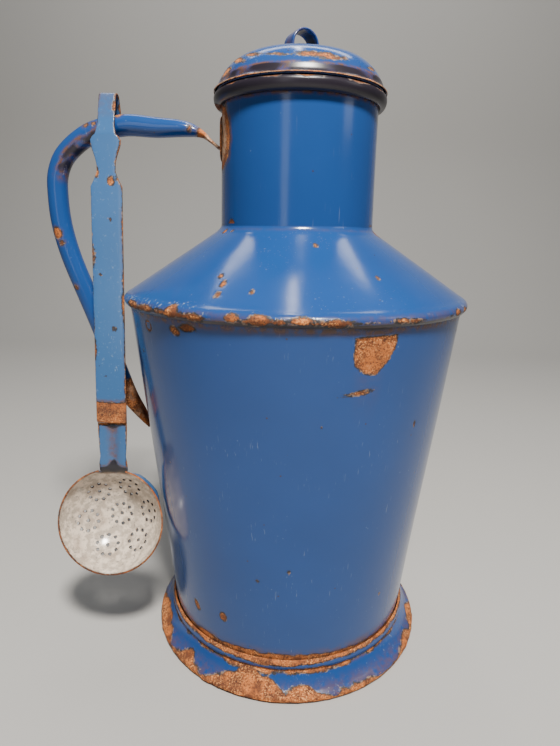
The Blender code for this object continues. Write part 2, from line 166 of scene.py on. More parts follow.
def outlined_chip(points, centre, turn_deg, corners):
    """Millimetres inside a chip whose corners are given as millimetres (across, up) from its centre."""
    turn = math.radians(turn_deg)
    offset = (points - np.array(centre)) * 1000
    u = offset @ np.array((math.cos(turn), math.sin(turn), 0))
    v = offset[:, 2]
    inside = np.zeros(len(points), bool)
    nearest = np.full(len(points), 1000.0)
    for (u0, v0), (u1, v1) in zip(corners, corners[1:] + corners[:1]):
        span = (u1 - u0) ** 2 + (v1 - v0) ** 2
        share = np.clip(((u - u0) * (u1 - u0) + (v - v0) * (v1 - v0)) / span, 0, 1)
        gap = np.hypot(u - u0 - share * (u1 - u0), v - v0 - share * (v1 - v0))
        nearest = np.minimum(nearest, gap)
        rise = v1 - v0 if v1 != v0 else 1e-9
        inside ^= ((v0 > v) != (v1 > v)) & (u < (u1 - u0) * (v - v0) / rise + u0)
    field = np.where(inside, nearest, -nearest)
    return np.where(np.abs(turn_gap(points, turn_deg)) < 60, field, FAR_OUTSIDE)


def add_chips(points, field, place, rows):
    """The field with oval chips added: a turn, where it is, half its width and height, and perhaps its lean.

    All but the turns and leans are in millimetres. place() turns where a chip is into a radius and a height.
    """
    for turn, where, half_width, half_height, *lean in rows:
        spot = on_can(turn, *place(where / 1000))
        field = np.maximum(field, oval_chip(points, spot, half_width, half_height, turn, *lean))
    return field


def ragged(points, field, rough=1.0):
    """A chip field with an uneven edge."""
    wave = noise_at(points, 0.007, 1) * 1.1 + noise_at(points, 0.0028, 2) * 0.6
    return np.clip(field + wave * rough, FAR_OUTSIDE, -FAR_OUTSIDE)


def pits(field):
    """How far the surface sinks where the enamel is gone."""
    return smooth_step(field, -0.2, 0.7) * 0.00022


# --- Meshes --------------------------------------------------------------------------------------

def set_fields(mesh, fields):
    """Give a mesh its wear numbers, each one for every vertex or the same for all."""
    for field, values in fields.items():
        layer = mesh.attributes.new(field, "FLOAT", "POINT")
        layer.data.foreach_set("value", np.array(np.broadcast_to(values, len(mesh.vertices)), np.float32))


def wear(chip, stain_and_shade, rub, darkest=2.0):
    """A piece's wear numbers, with its stain and painted shade no darker than given."""
    return {"chip": chip, "stain_and_shade": np.clip(stain_and_shade, 0, darkest), "rub": np.clip(rub, 0, 1)}


def new_object(name, data):
    """An object that shows the data, in the scene."""
    thing = bpy.data.objects.new(name, data)
    bpy.context.scene.collection.objects.link(thing)
    return thing


def grid_mesh(name, points, fields, close_rows=False, close_columns=True):
    """A smooth mesh object from a grid of points (rows, columns, 3), with its wear numbers."""
    rows, columns = points.shape[:2]
    faces = []
    for row in range(rows if close_rows else rows - 1):
        upper = row * columns
        lower = (row + 1) % rows * columns
        for column in range(columns if close_columns else columns - 1):
            following = (column + 1) % columns
            faces.append((upper + column, lower + column, lower + following, upper + following))
    mesh = bpy.data.meshes.new(name)
    mesh.from_pydata(points.reshape(-1, 3).tolist(), [], faces)
    set_fields(mesh, fields)
    builder = bmesh.new()
    builder.from_mesh(mesh)
    bmesh.ops.remove_doubles(builder, verts=builder.verts, dist=1e-7)
    bmesh.ops.recalc_face_normals(builder, faces=builder.faces)
    builder.to_mesh(mesh)
    builder.free()
    mesh.shade_smooth()
    mesh.set_sharp_from_angle(angle=math.radians(50))
    return new_object(name, mesh)


def finish_piece(thing, material, slot, body, *nodes):
    """Give a piece its material, hang it on what it rides on, and hide the frame's parts that it stands in
    for.
    """
    thing.data.materials.append(material)
    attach(thing, body)
    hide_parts(*nodes)


def spaced(points, spacing):
    """The same run of points, with about the given distance between neighbours."""
    points = np.array(points, float)
    steps = np.linalg.norm(np.diff(points, axis=0), axis=1)
    along = np.concatenate(([0.0], np.cumsum(steps)))
    count = max(int(round(along[-1] / spacing)), 1)
    places = np.linspace(0.0, along[-1], count + 1)
    return np.stack([np.interp(places, along, column) for column in points.T], 1)


def smooth_run(stations, steps=12):
    """A Catmull-Rom run through stations, each a tuple of numbers."""
    run = []
    last = len(stations) - 1
    for index in range(last):
        before = np.array(stations[max(index - 1, 0)], float)
        start = np.array(stations[index], float)
        end = np.array(stations[index + 1], float)
        after = np.array(stations[min(index + 2, last)], float)
        for step in range(steps):
            t = step / steps
            run.append(
                start
                + (end - before) * 0.5 * t
                + (before - start * 2.5 + end * 2 - after * 0.5) * t * t
                + (start * 1.5 - before * 0.5 - end * 1.5 + after * 0.5) * t ** 3
            )
    run.append(np.array(stations[last], float))
    return run


def arc(centre, radius, start_deg, end_deg, steps):
    """Points along an arc, both ends included."""
    angles = np.radians(np.linspace(start_deg, end_deg, steps + 1))
    return [(centre[0] + radius * math.cos(a), centre[1] + radius * math.sin(a)) for a in angles]


def left_of(path, closed=False):
    """Unit normals to the left of a path of (radius, height) points."""
    path = np.array(path, float)
    if closed:
        along = np.roll(path, -1, 0) - np.roll(path, 1, 0)
    else:
        along = np.gradient(path, axis=0)
    along /= np.maximum(np.linalg.norm(along, axis=1), 1e-12)[:, None]
    return np.stack([-along[:, 1], along[:, 0]], 1)


def sheet_profile(path, thickness, inner_spacing, open_start=False):
    """Both faces of a sheet along a path through its middle, with rounded edges."""
    path = np.array(path, float)
    normal = left_of(path)
    if open_start:
        normal[0] = (0.0, 1.0)
    half = thickness / 2
    outer = path + normal * half
    inner = spaced((path - normal * half)[::-1], inner_spacing)
    tail = math.degrees(math.atan2(normal[-1][1], normal[-1][0]))
    points = list(outer) + arc(path[-1], half, tail - 30, tail - 150, 3) + list(inner)
    if not open_start:
        head = math.degrees(math.atan2(normal[0][1], normal[0][0]))
        points += arc(path[0], half, head - 210, head - 330, 3)
    return np.array(points)


class Turned:
    """A profile of (radius, height) points spun round the can's axis.

    The profile runs down its outer side and back up its inner side, so its left is out of the sheet.
    """

    def __init__(self, profile, columns, closed):
        self.closed = closed
        profile = np.array(profile, float)
        normal = left_of(profile, closed)
        normal[profile[:, 0] < 1e-6, 0] = 0.0
        turns = np.radians(np.arange(columns) * 360.0 / columns)
        spread = np.stack([np.sin(turns), -np.cos(turns)], 1)
        shape = (len(profile), columns, 3)
        self.grid = np.empty(shape)
        self.normals = np.empty(shape)
        self.grid[:, :, :2] = profile[:, None, :1] * spread
        self.grid[:, :, 0] += AXIS_X
        self.grid[:, :, 2] = profile[:, 1:2]
        self.normals[:, :, :2] = normal[:, None, :1] * spread
        self.normals[:, :, 2] = normal[:, 1:2]
        self.points = self.grid.reshape(-1, 3).copy()
        self.radius = np.repeat(profile[:, 0], columns)
        self.faces_out = np.repeat(normal[:, 0], columns)
        self.faces_up = np.repeat(normal[:, 1], columns)

    def sink(self, depths):
        """Move every point into the sheet by its own depth."""
        self.grid -= self.normals * depths.reshape(self.grid.shape[:2])[:, :, None]

    def piece(self, name, fields):
        """The mesh object."""
        return grid_mesh(name, self.grid, fields, close_rows=self.closed)


def dents(points, size, depth, seed):
    """Broad shallow unevenness of hand-worked sheet, always into the sheet."""
    return (noise_at(points, size, seed) * 0.5 + 0.5) * depth


# --- Materials -----------------------------------------------------------------------------------

class Graph:
    """A material's nodes, with short ways to add and join them."""

    def __init__(self, name):
        self.material = bpy.data.materials.new(name)
        self.material.use_nodes = True
        self.tree = self.material.node_tree
        self.shader = self.tree.nodes["Principled BSDF"]
        self.place = self.tree.nodes.new("ShaderNodeTexCoord").outputs["Object"]

    def feed(self, socket, value):
        """Join an output to a socket, or set the socket's own value."""
        if isinstance(value, bpy.types.NodeSocket):
            self.tree.links.new(value, socket)
        else:
            socket.default_value = value

    def attribute(self, name):
        """A number that the mesh carries at its vertices."""
        node = self.tree.nodes.new("ShaderNodeAttribute")
        node.attribute_name = name
        return node.outputs["Fac"]

    def stretched(self, stretch):
        """The place on the object, scaled along each axis."""
        if stretch == (1, 1, 1):
            return self.place
        node = self.tree.nodes.new("ShaderNodeMapping")
        node.inputs["Scale"].default_value = stretch
        self.feed(node.inputs["Vector"], self.place)
        return node.outputs["Vector"]

    def noise(self, size, detail=2.0, stretch=(1, 1, 1), roughness=0.5):
        """Noise from 0 to 1 whose bumps are about the given size."""
        node = self.tree.nodes.new("ShaderNodeTexNoise")
        node.inputs["Scale"].default_value = 1 / size
        node.inputs["Detail"].default_value = detail
        node.inputs["Roughness"].default_value = roughness
        self.feed(node.inputs["Vector"], self.stretched(stretch))
        return node.outputs["Fac"]

    def cells(self, size, stretch=(1, 1, 1)):
        """Distance to the nearest of many scattered points, about the given size apart."""
        node = self.tree.nodes.new("ShaderNodeTexVoronoi")
        node.inputs["Scale"].default_value = 1 / size
        self.feed(node.inputs["Vector"], self.stretched(stretch))
        return node.outputs["Distance"]

    def step(self, value, low, high):
        """0 to 1 as the value goes from low to high, softly."""
        node = self.tree.nodes.new("ShaderNodeMapRange")
        node.interpolation_type = "SMOOTHSTEP"
        node.inputs["From Min"].default_value = low
        node.inputs["From Max"].default_value = high
        self.feed(node.inputs["Value"], value)
        return node.outputs["Result"]

    def blotches(self, size, low, high, detail=3.0, stretch=(1, 1, 1), roughness=0.5):
        """Patches where noise of a size is high: 0 to 1 as the noise goes from low to high."""
        return self.step(self.noise(size, detail, stretch, roughness), low, high)

    def calc(self, operation, first, second):
        """A sum, product or the like of two numbers."""
        node = self.tree.nodes.new("ShaderNodeMath")
        node.operation = operation
        self.feed(node.inputs[0], first)
        self.feed(node.inputs[1], second)
        return node.outputs["Value"]

    def plus(self, first, second):
        """The sum of two numbers."""
        return self.calc("ADD", first, second)

    def times(self, first, second):
        """The product of two numbers."""
        return self.calc("MULTIPLY", first, second)

    def larger(self, first, second):
        """The larger of two numbers."""
        return self.calc("MAXIMUM", first, second)

    def scaled(self, value, factor, plus):
        """value times factor, plus a number."""
        return self.plus(self.times(value, factor), plus)

    def mix(self, factor, first, second):
        """A colour between two colours."""
        node = self.tree.nodes.new("ShaderNodeMix")
        node.data_type = "RGBA"
        self.feed(node.inputs["Factor"], factor)
        for socket, value in ((node.inputs[6], first), (node.inputs[7], second)):
            self.feed(socket, value if isinstance(value, bpy.types.NodeSocket) else (*value, 1.0))
        return node.outputs[2]

    def between(self, factor, first, second):
        """A number between two numbers."""
        node = self.tree.nodes.new("ShaderNodeMix")
        self.feed(node.inputs["Factor"], factor)
        self.feed(node.inputs[2], first)
        self.feed(node.inputs[3], second)
        return node.outputs[0]

    def bump(self, height_mm):
        """Surface relief given in millimetres."""
        node = self.tree.nodes.new("ShaderNodeBump")
        node.inputs["Strength"].default_value = 1.0
        node.inputs["Distance"].default_value = 0.001
        self.feed(node.inputs["Height"], height_mm)
        self.feed(self.shader.inputs["Normal"], node.outputs["Normal"])

    def finish(self, colour, roughness):
        """Feed the shader, and return the material."""
        self.feed(self.shader.inputs["Base Color"], colour)
        self.feed(self.shader.inputs["Roughness"], roughness)
        return self.material


def tinted(colour, factor):
    """A colour made lighter or darker."""
    return tuple(min(part * factor, 1.0) for part in colour)


def rust_colour(graph, tone=1.0):
    """Orange-brown rust with dark pits and pale sandy grains."""
    grain = graph.noise(0.0011, 3.0, roughness=0.7)
    brown = tinted((0.14, 0.038, 0.01), tone)
    orange = tinted((0.44, 0.125, 0.024), tone)
    colour = graph.mix(graph.blotches(0.009, 0.4, 0.6, 4.0, roughness=0.65), brown, orange)
    sandy = graph.times(graph.step(grain, 0.51, 0.64), graph.blotches(0.02, 0.38, 0.6))
    colour = graph.mix(sandy, colour, tinted((0.74, 0.33, 0.11), tone))
    return graph.mix(graph.step(grain, 0.47, 0.36), colour, tinted((0.05, 0.018, 0.009), tone))


def lining_colour(graph, colour):
    """Pale inside enamel, marbled with warm veins and a few grey specks."""
    veins = graph.blotches(0.005, 0.4, 0.62, roughness=0.6)
    lining = graph.mix(veins, tinted(colour, 0.74), tinted(colour, 1.24))
    lining = graph.mix(graph.times(graph.blotches(0.015, 0.52, 0.7), 0.5), lining, (0.34, 0.255, 0.2))
    dots = graph.blotches(0.0019, 0.62, 0.7, 2.0)
    return graph.mix(graph.times(dots, 0.6), lining, (0.12, 0.115, 0.12))


def specked_coat(graph, colour, speckle):
    """The coat's own cloudy colour, with pale specks and rusty pin-holes, and where the specks are."""
    coat = graph.mix(graph.noise(0.085, 3.0), tinted(colour, 0.82), tinted(colour, 1.18))
    dusty = graph.blotches(0.03, 0.5, 0.75)
    specks = graph.times(graph.step(graph.cells(0.006), 0.105, 0.065), dusty)
    coat = graph.mix(graph.times(specks, 0.45), coat, (0.15, 0.23, 0.37))
    pin_holes = graph.step(graph.cells(0.015), 0.052, 0.034)
    coat = graph.mix(graph.times(pin_holes, 0.8), coat, (0.05, 0.028, 0.02))
    if speckle:
        flecks = graph.blotches(0.0026, 0.6, 0.7, roughness=0.7)
        coat = graph.mix(graph.times(flecks, speckle), coat, (0.19, 0.27, 0.38))
    return coat, specks


def wear_of(graph, rub):
    """Hairline scratches, and pale scuffs where the piece rubs."""
    upright = graph.blotches(0.0011, 0.665, 0.735, 2.0, (1, 1, 0.035))
    scratches = graph.times(upright, graph.blotches(0.045, 0.5, 0.66, 2.0))
    grain = graph.noise(0.002, 3.0, (1, 1, 0.25), 0.65)
    scuffs = graph.step(graph.plus(grain, graph.times(rub, 0.3)), 0.78, 0.94)
    return graph.larger(graph.times(scratches, 0.3), graph.times(scuffs, 0.6))


def enamel_material(name, colour, speckle=0.0, inside=None):
    """Fired enamel with chips down to rusty steel, brown stains, painted shade, scuffs, specks and hairline
    scratches.
    """
    graph = Graph(name)
    chip = graph.attribute("chip")
    stain_and_shade = graph.attribute("stain_and_shade")
    coat, specks = specked_coat(graph, colour, speckle)
    worn = wear_of(graph, graph.attribute("rub"))
    coat = graph.mix(worn, coat, (0.24, 0.3, 0.39))
    if inside is not None:
        coat = graph.mix(graph.attribute("inside"), coat, lining_colour(graph, inside))

    # A thin brown film round rusty places, nearly black where the stain number reaches 1.5; that near black
    # is painted shade under lips and in coves, grooves and loops, and a dark stain at the strap's lap.
    film_and_shade = graph.times(graph.step(stain_and_shade, 0.0, 1.0), graph.blotches(0.006, 0.3, 0.62, 4.0, roughness=0.65))
    shade_and_dark_stain = graph.step(stain_and_shade, 1.0, 1.5)
    film_and_shade = graph.larger(film_and_shade, shade_and_dark_stain)
    film_and_shade_colour = graph.mix(shade_and_dark_stain, (0.115, 0.05, 0.022), (0.016, 0.009, 0.005))
    coat = graph.mix(graph.times(film_and_shade, 0.93), coat, film_and_shade_colour)

    # Chips: a dark broken rim of ground coat, then rusty steel, rubbed pale where they are deep.
    fringe = graph.scaled(graph.noise(0.0016, 3.0, roughness=0.6), 2.2, -1.1)
    depth = graph.plus(chip, fringe)
    rim = graph.step(depth, -0.85, -0.35)
    bare = graph.step(depth, -0.1, 0.22)
    polished = graph.times(graph.step(chip, 4.0, 7.0), graph.blotches(0.004, 0.34, 0.58))
    rim_tone = graph.mix(graph.blotches(0.0035, 0.5, 0.62, 2.0), GROUND_COAT, (0.19, 0.13, 0.095))
    coat = graph.mix(rim, coat, rim_tone)
    # Rust in chips is darker where the stain number carries painted shade or dark stain, and near a chip's
    # edge.
    darker_rust = graph.larger(graph.step(stain_and_shade, 0.6, 1.6), graph.step(depth, 0.95, 0.2))
    rust = graph.mix(graph.times(darker_rust, 0.7), rust_colour(graph), (0.085, 0.032, 0.015))
    steel = graph.mix(graph.times(polished, 0.75), rust, (0.62, 0.42, 0.26))
    surface = graph.mix(bare, coat, steel)

    shine = graph.scaled(graph.noise(0.02, 3.0), 0.1, 0.115)
    shine = graph.plus(graph.plus(shine, graph.times(worn, 0.3)), graph.times(film_and_shade, 0.13))
    dull = graph.larger(bare, graph.times(rim, 0.6))
    roughness = graph.between(dull, shine, graph.scaled(polished, -0.38, 0.86))

    peel = graph.times(graph.noise(0.0055, 2.0), 0.014)
    waves = graph.times(graph.noise(0.04, 1.0), 0.11)
    streaks = graph.times(graph.noise(0.006, 1.0, (1, 1, 0.05)), 0.02)
    relief = graph.plus(graph.plus(peel, waves), streaks)
    relief = graph.plus(relief, graph.times(specks, -0.02))
    grain = graph.scaled(graph.noise(0.0014, 4.0, roughness=0.7), 0.4, -0.42)
    relief = graph.plus(relief, graph.times(bare, grain))
    graph.bump(graph.plus(relief, graph.times(rim, -0.05)))
    return graph.finish(surface, roughness)


def steel_material(name, share_bare):
    """Old steel: worn grey metal showing through rust, more of it with a larger share."""
    graph = Graph(name)
    patches = graph.plus(graph.noise(0.006, 4.0, roughness=0.65), share_bare)
    metal = graph.step(patches, 0.62, 0.72)
    streaks = graph.noise(0.0018, 3.0, (1, 1, 0.2))
    grey = graph.mix(streaks, (0.18, 0.15, 0.12), (0.47, 0.4, 0.33))
    colour = graph.mix(metal, rust_colour(graph, 1.1), grey)
    graph.feed(graph.shader.inputs["Metallic"], graph.times(metal, 0.75))
    graph.bump(graph.times(graph.noise(0.0014, 4.0, roughness=0.7), 0.22))
    return graph.finish(colour, graph.between(metal, 0.88, 0.48))


def stage_material(name, colour):
    """Plain matt studio surface, very slightly cloudy."""
    graph = Graph(name)
    clouds = graph.noise(0.6, 2.0)
    surface = graph.mix(clouds, tinted(colour, 0.97), tinted(colour, 1.03))
    return graph.finish(surface, 0.85)


# --- The can -------------------------------------------------------------------------------------

def body_radius(height):
    """Outer radius of the tapered body at a height."""
    share = (height - BODY_FOOT[1]) / (BODY_TOP[1] - BODY_FOOT[1])
    return BODY_FOOT[0] + share * (BODY_TOP[0] - BODY_FOOT[0])


def neck_radius(height):
    """Outer radius of the neck, which is very slightly tapered."""
    return NECK_RADIUS - 0.01 * (height - NECK_BASE_Z)


def scattered_chips(points, radius_at, count, seed, heights, size, turns=(-180, 180)):
    """Small round chips thrown over a turned wall, between two turns. Their size is in millimetres."""
    dice = random.Random(seed)
    field = np.full(len(points), FAR_OUTSIDE)
    for _ in range(count):
        turn = dice.uniform(*turns)
        height = dice.uniform(*heights)
        half = size * dice.uniform(0.5, 1.4)
        spot = on_can(turn, radius_at(height), height)
        field = np.maximum(field, oval_chip(points, spot, half, half * dice.uniform(0.6, 1.5), turn))
    return field


def make_body(material):
    """The body's wall: one large chip, a scratch below it, small chips, rust along its foot, and painted
    shade under the shoulder's lip.
    """
    low = body_radius(BODY_LOW_EDGE)
    high = body_radius(BODY_HIGH_EDGE)
    outer = spaced([(high, BODY_HIGH_EDGE), (low, BODY_LOW_EDGE)], 0.0019)
    inner = spaced([(low - SHEET, BODY_LOW_EDGE), (high - SHEET, BODY_HIGH_EDGE)], 0.012)
    wall = Turned(np.concatenate([outer, inner]), 360, closed=True)
    points = wall.points
    height = points[:, 2]

    # Corners, then ovals by height, in millimetres.
    large = [(-13.5, 10.5), (0, 11.2), (15, 11.8), (14.6, 4), (10, -5), (3, -12.5), (-4, -12), (-12.5, -6)]
    field = outlined_chip(points, on_can(LARGE_CHIP_TURN, 0.124, 0.26), LARGE_CHIP_TURN, large)
    field = add_chips(points, np.minimum(field, RUSTY_DEPTH), lambda up: (body_radius(up), up), (
        (19, 235.8, 7.5, 1.3, 8), (-27, 54.4, 3, 4.2), (-42.3, 51.3, 2.4, 4, 20), (0.7, 105.4, 1.3, 1.6),
        (-36, 269, 4.2, 2.6, -20), (-50, 268, 4.2, 3.6), (-31, 272, 6, 2.2), (150, 225, 11, 8, 20),
        (172, 90, 6, 9), (95, 150, 4, 6, 30), (118, 62, 7, 5), (-140, 125, 5, 7),
    ))
    field = np.maximum(field, scattered_chips(points, body_radius, 26, 5, (0.04, 0.265), 1.1))
    front = hump(turn_gap(points, -12), 24)
    seam = (0.0279 + 0.0028 * front - height) * 1000
    seam = seam + noise_at(points, 0.018, 3) * 2.2 + noise_at(points, 0.005, 4) * 1.6
    field = ragged(points, np.maximum(field, np.minimum(seam, RUSTY_DEPTH)), 0.55)
    outside = wall.faces_out > 0
    field = np.where(outside, field, FAR_OUTSIDE)

    stain_and_shade = smooth_step(height, 0.04, 0.028) * (0.6 + 0.4 * noise_at(points, 0.02, 6))
    # Painted shade: the top of the wall, under the shoulder's overhanging lip, goes very dark.
    stain_and_shade = stain_and_shade + smooth_step(height, 0.27, 0.277) * 1.3
    drip = smooth_step(np.abs(turn_gap(points, 22)), 7, 2) * smooth_step(height, 0.2, 0.248) * 0.25
    rub = smooth_step(noise_at(points, 0.06, 7), 0.1, 0.6) * 0.3
    wall.sink(dents(points, 0.075, 0.0007, 8) + np.where(outside, pits(field), 0))
    fields = wear(field, (stain_and_shade + drip) * outside, rub, 1.5)
    finish_piece(wall.piece("enamel_body", fields), material, "blue_enamel", "can", "body_wall")


def make_foot(material):
    """The flared skirt: a band, a groove, and a rusted hem rolled round its wire."""
    inset = SHEET / 2 + HEM_CURL * math.cos(math.pi / 8)
    centre = (FOOT_RADIUS - inset, inset)
    lap = BODY_FOOT[0] + GAP + SHEET / 2
    skirt = from_here(
        lap, 0, (0, 26.2), (1, 24.6), (1.4, 22.2), (0.9, 19.8), (0.1, 18.2), (1, 16.6), (3, 13.2), (5.6, 9.6),
    )
    skirt += from_here(*centre, (-2.2, 4))
    path = smooth_run(skirt, 8) + arc(centre, HEM_CURL, 60, -200, 22)
    ring = Turned(sheet_profile(spaced(path, 0.00075), SHEET, 0.002), 420, closed=True)
    points = ring.points
    height = points[:, 2]

    # How high the bare hem reaches, in millimetres, with a turn, a width and a rise for each tongue of rust.
    edge = 4.3 + noise_at(points, 0.03, 11) * 1.6 + noise_at(points, 0.008, 12) * 2
    for turn, width, rise in (
        (-15, 6, 12), (-6, 5, 8), (-25, 9, 4), (7, 5, 6), (-44, 5, 7), (-72, 12, 8), (33, 9, 1.2), (62, 8, 3),
        (80, 8, 5), (128, 9, 7), (-150, 10, 6),
    ):
        edge = edge + hump(turn_gap(points, turn), width) * rise
    front = hump(turn_gap(points, -6), 26)
    field = np.minimum(edge - height * 1000, 3.2)
    lip = (height - 0.025 + 0.0022 * front) * 1000 + noise_at(points, 0.014, 13) * 1.8
    groove = 0.2 - np.abs(height - GROOVE_Z) * 1000 / 1.3 + noise_at(points, 0.012, 19) * 2.2 + front
    field = np.maximum(np.maximum(field, lip), groove)
    outside = (ring.faces_out > 0) | (height < 0.004)
    inside = (0.6 + noise_at(points, 0.012, 14)) * 3
    field = np.where(outside, ragged(points, field, 0.7), inside)

    flaky = smooth_step(height, 0.01, 0.003)
    lumps = noise_at(points, 0.005, 15) * 0.00035 + noise_at(points, 0.0018, 16) * 0.00016
    bites = smooth_step(noise_at(points, 0.016, 17), 0.25, 0.6) * 0.0009
    ring.sink((0.0005 + lumps) * flaky + bites * smooth_step(height, 0.005, 0.001) + pits(field) * 0.8)
    ring.grid[:, :, 2] = np.maximum(ring.grid[:, :, 2], 0)

    stain_and_shade = smooth_step(height, 0.017, 0.006) * 0.55 + smooth_step(height, 0.0225, 0.0262) * 0.8
    stain_and_shade = stain_and_shade + hump(height - GROOVE_Z, 0.0016) * 0.9
    near_front = smooth_step(np.abs(turn_of(points)), 100, 60)
    rub = 0.25 + 0.4 * smooth_step(noise_at(points, 0.022, 18), -0.2, 0.4) * near_front
    fields = wear(field, stain_and_shade, rub * smooth_step(height, 0.023, 0.019), 1)
    finish_piece(ring.piece("enamel_foot", fields), material, "blue_enamel", "can", "foot_ring")


def make_shoulder(material):
    """The sloping shoulder, which flows on to the neck above and rolls over the body below, with painted
    shade under its bead.
    """
    slope = (NECK_BASE_Z - SHOULDER_CORNER_Z) / (SHOULDER_RADIUS - 0.0018 - NECK_RADIUS)
    drop = SHEET * math.hypot(1, slope)
    lip = body_radius(BODY_HIGH_EDGE) + GAP
    fillet = [(neck_radius(0.336) - 0.0003, NECK_BASE_Z + 0.0036)]
    fillet += from_here(NECK_RADIUS, NECK_BASE_Z, (0.2, 2), (1.2, 0.3), (4, -2.3))
    bead = from_here(
        SHOULDER_RADIUS, SHOULDER_EDGE_Z,
        (-5.2, 5.1), (-3.4, 4.1), (-1.6, 2.8), (-0.4, 1.2), (0, -0.6), (-0.6, -2.6), (-1.9, -4.1),
    )
    bead += from_here(lip, SHOULDER_EDGE_Z, (0.8, -4.6), (0, -3.8))
    inside_loop_shade = [
        (lip, SHOULDER_EDGE_Z + 0.001),
        (lip - 0.0012, NECK_BASE_Z - drop - slope * (lip - 0.0012 - NECK_RADIUS)),
        (NECK_RADIUS - 0.0003, NECK_BASE_Z - drop),
    ]
    profile = np.concatenate([
        spaced(smooth_run(fillet, 6), 0.0007), spaced([fillet[-1], bead[0]], 0.0019)[1:-1],
        spaced(smooth_run(bead, 6), 0.0006), spaced(inside_loop_shade, 0.008),
    ])
    cone = Turned(profile, 360, closed=True)
    points = cone.points
    height = points[:, 2]

    field = np.full(len(points), FAR_OUTSIDE)
    field = add_chips(points, field, lambda sag: (SHOULDER_RADIUS - 0.0006, SHOULDER_EDGE_Z + sag - 0.0004), (
        (-57, 0, 9, 2.4), (-47, 0, 7, 2), (-35, 1, 5, 4), (-27, 0, 3.4, 1.6), (-15.9, 0.6, 4.2, 2.6),
        (-8.6, 0.2, 6, 3.4), (-3, 0, 2.8, 1.2), (1.8, 0.6, 6.2, 2.2), (13, 0, 5, 1), (30, 0, 7, 1.1),
        (56, 0, 4.6, 2.4), (64, 0, 4, 1.8), (84, 0, 9, 3), (112, 0, 6, 4), (139, 0, 11, 3), (166, 0, 6, 3),
        (-168, 0, 8, 3.4), (-128, 0, 10, 3.4), (-84, 0, 6, 3),
    ))
    field = add_chips(points, field, lambda radius: (radius, NECK_BASE_Z - slope * (radius - NECK_RADIUS)), (
        (-24, 107, 1.7, 1.36), (-13, 112, 1.2, 0.96), (31, 100, 1, 0.8), (-27, 101, 1.3, 1.04),
        (-23.5, 116, 1.5, 1.2), (140, 90, 5, 4), (-57, 60, 1.6, 1.28), (-48, 59.6, 1, 0.8),
        (75, 60, 3, 2.4), (100, 112, 4, 3.2), (10, 72, 1, 0.8),
    ))
    from_bead = np.abs(height - SHOULDER_EDGE_Z + 0.0012) * 1000
    worn_edge = noise_at(points, 0.016, 21) * 3.2 - 0.3 - from_bead / 1.7
    field = np.maximum(field, np.where(cone.radius > SHOULDER_RADIUS - 0.004, worn_edge, FAR_OUTSIDE))
    on_top = (height > SHOULDER_EDGE_Z + 0.004) & (cone.faces_up > 0)
    outside = (cone.faces_up > -0.95) & ((cone.radius > lip + 0.0002) | on_top)
    field = np.where(outside, ragged(points, field, 0.6), FAR_OUTSIDE)

    from_edge = cone.radius - SHOULDER_RADIUS
    stain_and_shade = smooth_step(from_edge, -0.0035, -0.0005) * 0.42
    # Painted shade under the rolled bead, nearly black.
    stain_and_shade = stain_and_shade + smooth_step(height, SHOULDER_EDGE_Z - 0.0014, SHOULDER_EDGE_Z - 0.0034) * 1.5
    stain_and_shade = stain_and_shade + hump(cone.radius - NECK_RADIUS - 0.0014, 0.001) * 0.3
    left = smooth_step(turn_of(points), -28, -40) * smooth_step(turn_of(points), -85, -65)
    rub = smooth_step(from_edge, -0.011, -0.003) * (0.45 + 0.4 * left)
    rub = rub + smooth_step(noise_at(points, 0.04, 22), 0.15, 0.6) * 0.42
    cone.sink(dents(points, 0.05, 0.00035, 23) + pits(field) * outside)
    fields = wear(field, stain_and_shade, rub, 1.8)
    finish_piece(cone.piece("enamel_shoulder", fields), material, "blue_enamel", "can", "shoulder_cone")


